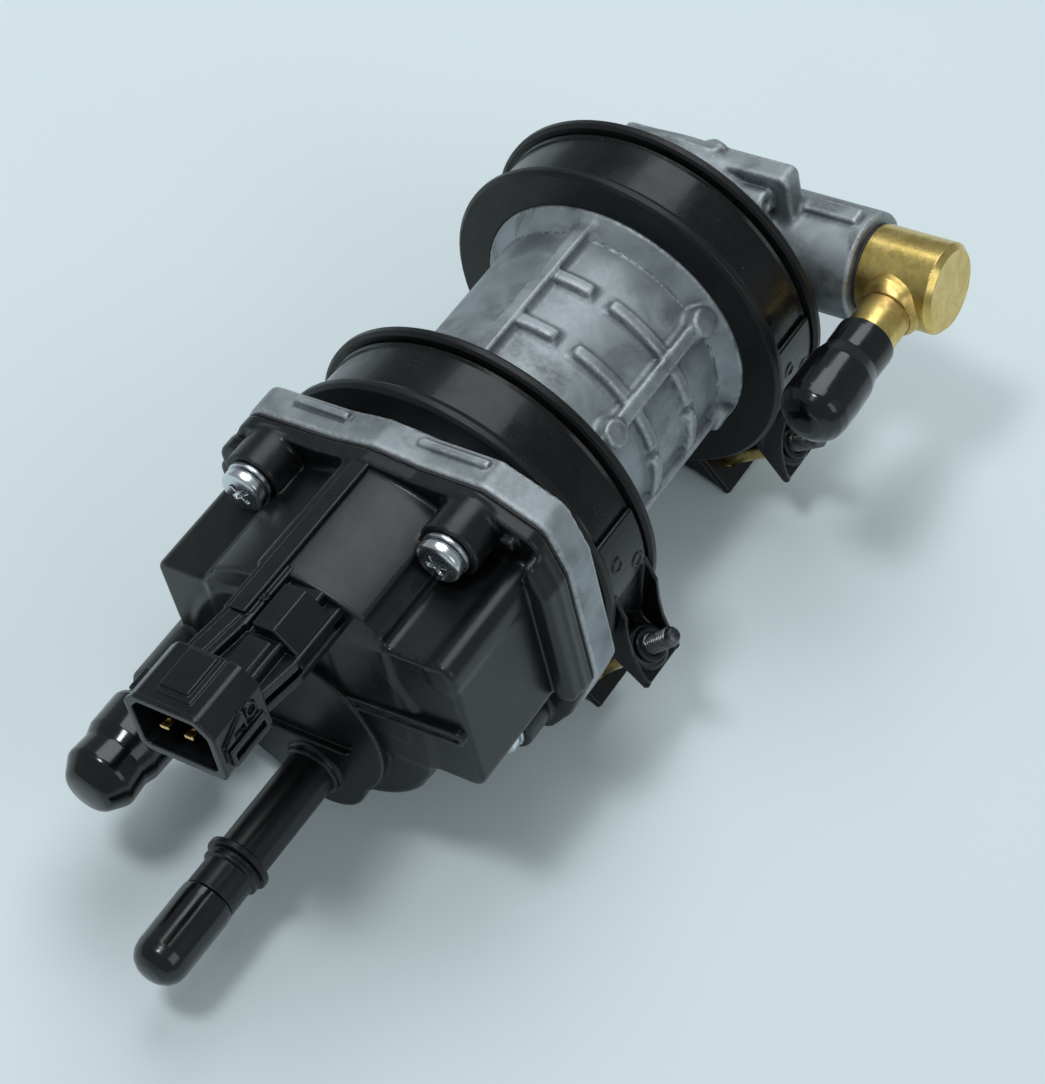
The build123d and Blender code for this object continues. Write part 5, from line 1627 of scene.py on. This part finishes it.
    def build(self) -> None:
        """Builds the moulding, the connector, its blades and the cover's gasket, and dresses them."""
        body = FieldMesher(self.field, (-43.0, -112.0, -39.0), (46.5, -52.0, 42.0), self.cell).mesh()
        show(Surface.join([body, *self.spigots()]), "cover_moulding", COVER_PLASTIC, "cover")
        face = FieldMesher(self.relief, (-29.5, -93.5, -36.5), (41.0, -84.0, 15.5), self.relief_cell).mesh()
        show(face, "cover_face_relief", COVER_PLASTIC, "cover")
        plug = FieldMesher(self.connector_field, (-8.4, -126.0, 24.5), (18.5, -54.0, 44.0),
                           self.connector_cell).mesh()
        show(plug, "cover_connector", CONNECTOR_PLASTIC, "cover")
        tips = FieldMesher(self.blades, (1.6, -125.2, 33.8), (10.4, -112.0, 35.4), self.tip_cell).mesh()
        legs = FieldMesher(self.legs, (1.6, -114.0, 19.6), (10.4, -81.0, 35.4), self.leg_cell).mesh()
        show(Surface.join([tips, legs]), "terminal_blades", BRASS, "terminal_pins")
        gasket = FieldMesher(self.gasket_field, (-43.0, -54.0, -39.0), (46.5, -51.0, 42.0),
                             self.gasket_cell).mesh()
        show(gasket, "cover_gasket_sheet", DARK_RUBBER, "cover_gasket")


@dataclass
class CoverScrews:
    """Four pan head screws with a cross recess, each on a flat washer."""

    housing: Housing
    seat: float = -64.4
    head_radius: float = 5.05
    head_low: float = 1.0
    head_high: float = 4.35
    head_round: float = 1.25
    dome_radius: float = 24.0
    dome_centre: float = 19.6
    shank_end: float = -46.0
    turns: Sequence[float] = (38.0, 12.0, 61.0, 25.0)
    washer: Sequence[Point] = ((2.6, 0.0), (5.3, 0.0), (5.3, 1.0), (2.6, 1.0))
    cell: float = 0.2

    def head(self, points: Array) -> Array:
        """Distance to one head: a disc under a dome with a tapering cross cut into it.

        Args:
            points: Points with the screw along y, the front at -y and the seat at y = 0.

        Returns:
            The distance.
        """
        x, y, z = points.T
        barrel = prism(np.hypot(x, z) - self.head_radius, -y, self.head_low, self.head_high, self.head_round)
        dome = np.sqrt(x * x + z * z + (y - self.dome_centre) ** 2) - self.dome_radius
        body = common(barrel, dome, 0.5)
        # The cross narrows from the face of the head down to its floor, 2.1 mm above the seat
        depth = np.clip((-y - 2.0) / 2.4, 0.0, 1.0)
        reach, half = 1.7 + 1.0 * depth, 0.42 + 0.2 * depth
        first = np.maximum(np.abs(x) - reach, np.abs(z) - half)
        second = np.maximum(np.abs(z) - reach, np.abs(x) - half)
        cross = np.maximum(blend(first, second, 0.4), y + 2.1)
        return cut(body, cross, 0.18)

    def build(self) -> None:
        """Builds the four heads with their shanks, and the washers, and dresses them."""
        head = FieldMesher(self.head, (-5.3, -4.6, -5.3), (5.3, -0.8, 5.3), self.cell).mesh()
        start, end = self.seat - 1.2, self.shank_end
        shank = ((0.0, start), (2.5, start), (2.5, end - 0.6), (2.0, end), (0.0, end))
        screws, washers = [], []
        for (x, z), angle in zip(self.housing.screw_points, self.turns):
            seat, spin = np.array([x, self.seat, z]), Placement(angle)
            screws.append(Surface(spin.turn(head.points) + seat, spin.turn(head.normals), head.faces,
                                  head.relief))
            screws.append(turned(shank, 0.1, (x, 0.0, z), segments=32))
            washers.append(turned(self.washer, 0.2, seat, FORWARD, 64))
        show(Surface.join(screws), "cover_screw_heads", BRIGHT_ZINC, "cover_screws")
        show(Surface.join(washers), "cover_screw_washers", BRIGHT_ZINC, "screw_washers")


@dataclass
class Isolator:
    """A rubber ring with a groove for the clamp band, moulded with two lips."""

    name: str
    centre: float
    seat: float = 33.05
    groove: float = 38.6
    lip: float = 42.0
    radii: Sequence[float] = (0.3, 0.6, 0.6, 0.4, 0.4, 0.8)

    def build(self) -> None:
        """Builds the ring from one half of its profile and the mirrored other, and dresses it."""
        half = ((self.seat, 9.8), (self.lip - 0.9, 9.8), (self.lip, 8.9), (self.lip, 7.6),
                (self.lip - 0.8, 7.0), (self.groove, 7.0))
        corners = [(radius, self.centre - y) for radius, y in half]
        corners += [(radius, self.centre + y) for radius, y in reversed(half)]
        ring = turned(corners, [*self.radii, *reversed(self.radii)], (0.0, 0.0, 0.0), segments=300)
        show(ring, f"{self.name}_isolator_ring", ISOLATOR_RUBBER, f"{self.name}_isolator")


@dataclass
class Clamp:
    """A steel band with two welded ears, gussets between them, and the bolt and nut that draw them up."""

    name: str
    centre: float
    ear_angle: float
    band_inner: float = 38.65
    band_outer: float = 39.65
    half_width: float = 6.6
    band_sweep: tuple[float, float] = (36.0, 324.0)
    tab: float = 1.2
    tab_sweep: tuple[float, float] = (60.0, 38.0)
    knee: float = 42.0
    tip: float = 53.6
    half_gap: float = 9.4
    reach: float = 47.5
    bolt_tip: float = 22.7
    thread_pitch: float = 0.8
    shank_radius: float = 2.2
    thread_radius: float = 2.5
    point_radius: float = 2.25
    head_apothem: float = 3.55
    hole_radius: float = 2.65
    web: Sequence[Point] = (
        (31.6, 23.2), (31.2, 26.4), (37.2, 23.4), (41.5, 18.6), (45.3, 15.2), (49.2, 12.8), (53.4, 10.6),
        (53.0, 9.8), (42.2, 9.8))
    welds: Sequence[tuple[float, float]] = ((43.5, 3.2), (50.0, -3.2))
    nut_corners: Sequence[Point] = (
        (2.55, 0.0), (5.2, 0.0), (5.2, 1.1), (4.6, 1.6), (3.9, 1.7), (3.9, 2.9), (3.5, 3.2), (2.55, 3.2))
    nut_radii: Sequence[float] = (0.1, 0.3, 0.3, 0.3, 0.3, 0.2, 0.2, 0.15)
    cell: float = 0.3
    head_cell: float = 0.18

    def strip(self) -> Surface:
        """Returns the band: a strip with edges that curl out a little, carried from ear to ear.

        Returns:
            The band alone, without its ears.
        """
        y, w = self.centre, self.half_width
        inner, outer = self.band_inner, self.band_outer
        corners = [(inner, y - w + 0.9), (inner + 0.45, y - w), (outer + 0.45, y - w), (outer, y - w + 1.2),
                   (outer, y + w - 1.2), (outer + 0.45, y + w), (inner + 0.45, y + w), (inner, y + w - 0.9)]
        return ribbon(corners, 0.35, *self.band_sweep, 320)

    def ear_field(self, points: Array) -> Array:
        """Distance to the two ears with their welded tabs and gussets.

        Args:
            points: Points with x along the ears, y along the pump axis and z across the gap.

        Returns:
            Distance to a sheet bent along a smooth line, joined with two thin webs at each ear.
        """
        x, y, z = points.T
        up = np.abs(z)
        across_band = y - self.centre
        middle = self.band_outer + self.tab / 2
        arc = np.radians(np.linspace(*self.tab_sweep, 8))
        line = [(middle * math.cos(a), middle * math.sin(a)) for a in arc]
        # From the band's tab the sheet goes straight to the knee and bends round it into the flat ear
        start, knee = np.array(line[-1]), np.array([self.knee - 0.4, self.half_gap + self.tab / 2])
        bend = start + (knee - start) * 0.86
        for share in np.linspace(0.0, 1.0, 6):
            spot = (1 - share) ** 2 * bend + 2 * share * (1 - share) * knee + share ** 2 * (knee + [2.2, 0.0])
            line.append((float(spot[0]), float(spot[1])))
        line.append((self.tip - self.tab / 2, self.half_gap + self.tab / 2))
        nearest = np.full(len(points), np.inf)
        for (ax, az), (bx, bz) in zip(line, line[1:]):
            nearest = np.minimum(nearest, segment(x, up, (ax, az), (bx - ax, bz - az)))
        plan = box(x, across_band, 0.0, self.tip, -self.half_width, self.half_width, 0.9)
        sheet = common(nearest - self.tab / 2, plan, 0.5)
        web = polygon(x, up, self.web, 0.2)
        gusset = prism(web, np.abs(across_band), self.half_width - 1.0, self.half_width, 0.3)
        body = blend(sheet, gusset, 0.9)
        # A low ring round each spot weld
        for angle, side in self.welds:
            cos, sin = math.cos(math.radians(angle)), math.sin(math.radians(angle))
            out = x * cos + up * sin - middle - self.tab / 2
            away = (x - middle * cos) ** 2 + (up - middle * sin) ** 2 + (across_band - side) ** 2
            reach = np.sqrt(away + 1e-9)
            body = blend(body, np.hypot(reach - 1.7, out) - 0.3, 0.3)
        hole = np.hypot(x - self.reach, across_band) - self.hole_radius
        return cut(body, hole, 0.2)

    def shank(self) -> Surface:
        """Returns the bolt without its head: plain shank, thread from below the upper ear and plain point.

        Returns:
            The closed surface.
        """
        top = self.half_gap + self.tab
        thread_start, thread_end = self.half_gap - 2.0, self.bolt_tip - 1.2
        rows = [(0.0, -top), (self.shank_radius, -top), (self.shank_radius, thread_start - 0.1)]
        rows += [(self.thread_radius if height < top + 3.2 else self.point_radius, float(height))
                 for height in np.arange(thread_start, thread_end, 0.125)]
        rows += [(2.0, self.bolt_tip - 0.9), (1.4, self.bolt_tip), (0.0, self.bolt_tip)]

        def groove(turn: Array, grid: Array) -> Array:
            """Radius less a triangular groove that climbs one pitch a turn within the threaded length.

            Args:
                turn: Angle round the axis.
                grid: Plain radius and height of each row.

            Returns:
                The radius at each point.
            """
            height = grid[:, 1:]
            phase = np.abs((height / self.thread_pitch - turn / (2 * math.pi)) % 1.0 - 0.5) * 2
            inside = (height > thread_start) & (height < thread_end)
            return grid[:, :1] - np.where(inside, 0.4 * np.clip(phase * 1.4 - 0.2, 0.0, 1.0), 0.0)

        return turned(rows, 0.12, (self.reach, self.centre, 0.0), UP, 48, 2, groove)

    def head_field(self, points: Array) -> Array:
        """Distance to the bolt's hexagon head under the lower ear.

        Args:
            points: Points in the sub-assembly's frame.

        Returns:
            The distance, below zero inside.
        """
        x, y, z = points.T
        top = -self.half_gap - self.tab
        outline = hexagon(x - self.reach, y - self.centre, self.head_apothem, 30.0)
        body = prism(outline, z, top - 2.0, top, 0.3)
        dome = np.sqrt((x - self.reach) ** 2 + (y - self.centre) ** 2 + (z - top - 5.0) ** 2) - 7.85
        return common(body, dome, 0.2)

    def build(self) -> None:
        """Builds the clamp, its bolt and its round nut, and dresses them."""
        place = Placement(self.ear_angle)
        y = self.centre
        ears = FieldMesher(self.ear_field, (18.0, y - 7.0, -38.0), (54.5, y + 7.0, 38.0), self.cell).mesh()
        show(Surface.join([self.strip(), ears]), f"{self.name}_clamp_band", BAND_COAT, f"{self.name}_band",
             placement=place)
        head = FieldMesher(self.head_field, (42.0, y - 5.0, -13.0), (53.0, y + 5.0, -10.0),
                           self.head_cell).mesh()
        plating = BoltFinish(f"{self.name}_bolt_plating", place.spot((self.reach, y, 0.0)), place.way(UP),
                             self.half_gap - 1.0)
        show(Surface.join([head, self.shank()]), f"{self.name}_clamp_bolt", plating, f"{self.name}_bolt",
             placement=place)
        nut = turned(self.nut_corners, self.nut_radii, (self.reach, y, self.half_gap + self.tab), UP, 64)
        show(nut, f"{self.name}_clamp_nut", DARK_BOLT, f"{self.name}_nut", placement=place)


@dataclass
class Elbow:
    """The turned brass body on the port, its seal, the side tube and the braze round it."""

    face: float = 46.3
    end: float = 64.7
    radius: float = 10.5
    spigot_radius: float = 8.9
    spigot_start: float = 30.4
    chamfer: float = 1.3
    seal_face: float = 45.4
    seal_inner: float = 9.0
    seal_outer: float = 10.2
    tube: Sequence[Point] = ((4.7, -62.4), (5.9, -62.4), (5.9, -21.5), (4.7, -21.5))
    braze: Sequence[Point] = (
        (5.96, -62.0), (7.6, -62.0), (7.5, -59.2), (7.0, -57.8), (6.3, -56.6), (5.96, -56.2))
    braze_radii: Sequence[float] = (0.1, 0.2, 1.0, 1.0, 0.5, 0.1)
    braze_root: float = 6.05

    def bead(self, turn: Array, grid: Array) -> Array:
        """Radius of the braze with slow waves, as molten filler freezes.

        Args:
            turn: Angle round the axis.
            grid: Plain radius and height of each row.

        Returns:
            The radius at each point.
        """
        height = grid[:, 1:]
        wave = 0.22 * np.sin(3 * turn + 0.7 * height) + 0.12 * np.sin(7 * turn + 1.9)
        return grid[:, :1] + np.where(grid[:, :1] > self.braze_root, wave, 0.0)

    def build(self) -> None:
        """Builds the elbow's pieces and dresses them."""
        port, tube_foot = (0.0, PORT_Y, 0.0), (TUBE_X, 0.0, 0.0)
        joint = Placement().spot((TUBE_X, PORT_Y - self.radius - 0.5, 0.0))
        stained = BrazedBrass("brazed_brass", joint)
        body = turned([(0.0, self.spigot_start), (self.spigot_radius, self.spigot_start),
                       (self.spigot_radius, self.face), (self.radius, self.face),
                       (self.radius, self.end - self.chamfer), (self.radius - self.chamfer, self.end),
                       (0.0, self.end)], 0.3, port, RIGHT, 160)
        seal = turned([(self.seal_inner, self.seal_face), (self.seal_outer, self.seal_face),
                       (self.seal_outer, self.face), (self.seal_inner, self.face)], 0.2, port, RIGHT, 120)
        tube = turned(self.tube, 0.3, tube_foot, FORWARD)
        braze = turned(self.braze, self.braze_radii, tube_foot, FORWARD, 96, 4, self.bead)
        show(body, "elbow_turned_body", stained, "elbow_body")
        show(seal, "elbow_port_seal", DARK_RUBBER, "elbow_seal")
        show(tube, "elbow_side_tube", stained, "elbow_tube")
        show(braze, "elbow_braze_ring", stained, "elbow_braze")


@dataclass
class Cap:
    """A push-on vinyl cap: a cup with a bulge, a soft rim and a round closed end."""

    node: str
    at: Point
    corners: Sequence[Point]
    radii: Sequence[float]

    def build(self) -> None:
        """Builds the cap and dresses it."""
        lean = sum(map(ord, self.node)) % 7

        def soft(turn: Array, grid: Array) -> Array:
            """Radius with slow swells of a twentieth of a millimetre, as stretched vinyl has.

            Args:
                turn: Angle round the axis.
                grid: Plain radius and height of each row.

            Returns:
                The radius at each point.
            """
            height = grid[:, 1:]
            swell = 0.06 * np.sin(2 * turn + 0.35 * height + lean) + 0.04 * np.sin(3 * turn - 0.5 * height)
            return grid[:, :1] * (1 + swell / 8.0)

        cup = turned(self.corners, self.radii, (self.at[0], 0.0, self.at[1]), FORWARD, 128, 6, soft)
        show(cup, f"{self.node}_cup", CAP_VINYL, self.node, body=f"{self.node}_body")


CAPS = (
    Cap("outlet_cap", OUTLET_AT,
        ((0.0, 145.1), (4.9, 145.1), (4.9, 126.5), (5.9, 126.5), (6.05, 128.5), (6.1, 142.0), (5.72, 143.91),
         (4.64, 145.54), (3.01, 146.62), (1.1, 147.0), (0.0, 147.0)),
        (0.0, 0.3, 0.2, 0.3, 0.6, 4.0, 3.0, 3.0, 3.0, 3.0, 0.0)),
    Cap("return_cap", RETURN_AT,
        ((0.0, 124.9), (6.05, 124.9), (6.05, 114.0), (7.55, 114.0), (7.55, 104.5), (8.4, 104.5), (8.8, 105.6),
         (8.8, 113.4), (7.9, 116.2), (8.2, 121.5), (5.4, 126.2), (0.0, 126.8)),
        (0.0, 0.2, 0.2, 0.2, 0.2, 0.3, 0.6, 1.5, 2.2, 2.6, 3.0, 0.0)),
    Cap("inlet_cap", (TUBE_X, 0.0),
        ((0.0, -21.4), (6.05, -21.4), (6.05, -47.5), (6.8, -47.5), (6.85, -46.0), (6.7, -39.8), (7.8, -36.2),
         (7.9, -30.0), (7.8, -25.1), (7.37, -22.96), (6.16, -21.14), (4.34, -19.93), (2.2, -19.5),
         (0.0, -19.5)),
        (0.0, 0.2, 0.2, 0.3, 0.3, 2.5, 3.0, 6.0, 4.0, 3.0, 3.0, 3.0, 3.0, 0.0)))


class InnerParts:
    """The CAD nodes that stay: everything inside the pump, dressed by the record's material slots."""

    def build(self, frame: dict) -> None:
        """Gives each CAD node that nothing replaces the finish of its slot.
        """
        slots = {part["node"]: part["material_slot"] for part in frame["record"]["subparts"]}
        for name, node in frame["nodes"].items():
            if node.hide_render:
                continue
            finish = FINISHES[slots[name]]
            node.data.materials.clear()
            node.data.materials.append(finish.material())
            LOG.info("%s: dressed as %s", name, finish.name)


@dataclass(frozen=True)
class Lamp:
    """A square soft lamp: its place and the length of its sides in metres, and its power in watts."""

    name: str
    place: Spot
    size: float
    power: float

    def build(self, aim: Spot, colour: Colour) -> None:
        """Adds the lamp, of a colour, pointing at a spot.

        Args:
            aim: The spot, in metres.
            colour: The colour.
        """
        data = bpy.data.lights.new(self.name, "AREA")
        data.shape = "SQUARE"
        data.size = self.size
        data.energy = self.power
        data.color = colour
        lamp = bpy.data.objects.new(self.name, data)
        lamp.location = self.place
        lamp.rotation_euler = (Vector(aim) - Vector(self.place)).to_track_quat("-Z", "Y").to_euler()
        bpy.context.scene.collection.objects.link(lamp)


@dataclass
class Studio:
    """The pale floor, the soft lamps, the world and the camera."""

    eye: Spot = (0.14869, -0.31063, 0.56893)
    right: Spot = (0.8377, 0.5383, 0.0925)
    up: Spot = (-0.4964, 0.6798, 0.5398)
    back: Spot = (0.2277, -0.4981, 0.8367)
    focal: float = 98.83
    floor_reach: float = 6.0
    floor_colour: Colour = (0.735, 0.81, 0.83)
    floor_shade: float = 0.985
    world_colour: Colour = (0.77, 0.86, 0.90)
    world_strength: float = 0.36
    lamp_colour: Colour = (0.93, 0.98, 1.0)
    lamp_aim: Spot = (0.0, 0.0, 0.03)
    lamps: Sequence[Lamp] = (
        Lamp("key_lamp", (-0.3, -0.35, 1.2), 0.22, 4.6),
        Lamp("top_lamp", (-0.35, 0.6, 1.25), 0.95, 8.2),
        Lamp("side_lamp", (1.15, -0.1, 0.9), 0.8, 3.0))

    def floor(self) -> None:
        """Adds the floor, whose colour gives the background its pale tone."""
        mesh = bpy.data.meshes.new("floor")
        signs = ((-1, -1), (1, -1), (1, 1), (-1, 1))
        corners = [(x * self.floor_reach, y * self.floor_reach, 0.0) for x, y in signs]
        mesh.from_pydata(corners, [], [(0, 1, 2, 3)])
        graph = Graph("floor_paper")
        tone = graph.colour(graph.span(graph.noise(0.01, 3.0), 0.3, 0.7), self.floor_colour,
                            tuple(part * self.floor_shade for part in self.floor_colour))
        graph.links.new(tone, graph.shader.inputs["Base Color"])
        graph.shader.inputs["Roughness"].default_value = 0.85
        graph.shader.inputs["Specular IOR Level"].default_value = 0.15
        mesh.materials.append(graph.material)
        floor = bpy.data.objects.new("floor", mesh)
        bpy.context.scene.collection.objects.link(floor)

    def camera(self) -> None:
        """Adds the camera at the photograph's place and angle."""
        data = bpy.data.cameras.new("camera")
        data.lens = self.focal
        data.sensor_width = 36.0
        data.clip_end = 50.0
        camera = bpy.data.objects.new("camera", data)
        columns = zip(self.right, self.up, self.back, self.eye)
        camera.matrix_world = Matrix([list(row) for row in columns] + [[0.0, 0.0, 0.0, 1.0]])
        bpy.context.scene.collection.objects.link(camera)
        bpy.context.scene.camera = camera

    def world(self) -> None:
        """Sets an even pale world, the same for the camera and for reflections."""
        world = bpy.data.worlds.new("soft_room")
        world.use_nodes = True
        bpy.context.scene.world = world
        background = world.node_tree.nodes["Background"]
        background.inputs["Color"].default_value = (*self.world_colour, 1.0)
        background.inputs["Strength"].default_value = self.world_strength

    def build(self) -> None:
        """Sets up the whole studio."""
        bpy.context.scene.view_settings.view_transform = "Standard"
        self.world()
        self.floor()
        for lamp in self.lamps:
            lamp.build(self.lamp_aim, self.lamp_colour)
        self.camera()


def main() -> None:
    """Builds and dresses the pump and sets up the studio."""
    logging.basicConfig(level=logging.INFO, format="%(name)s: %(message)s")
    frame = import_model()
    housing = Housing()
    housing.build()
    Cover(housing).build()
    CoverScrews(housing).build()
    rings = (("front", FRONT_RING_Y, FRONT_EAR_ANGLE), ("rear", REAR_RING_Y, REAR_EAR_ANGLE))
    for name, centre, angle in rings:
        Isolator(name, centre).build()
        Clamp(name, centre, angle).build()
    Elbow().build()
    for cap in CAPS:
        cap.build()
    InnerParts().build(frame)
    Studio().build()


if __name__ == "__main__":
    main()
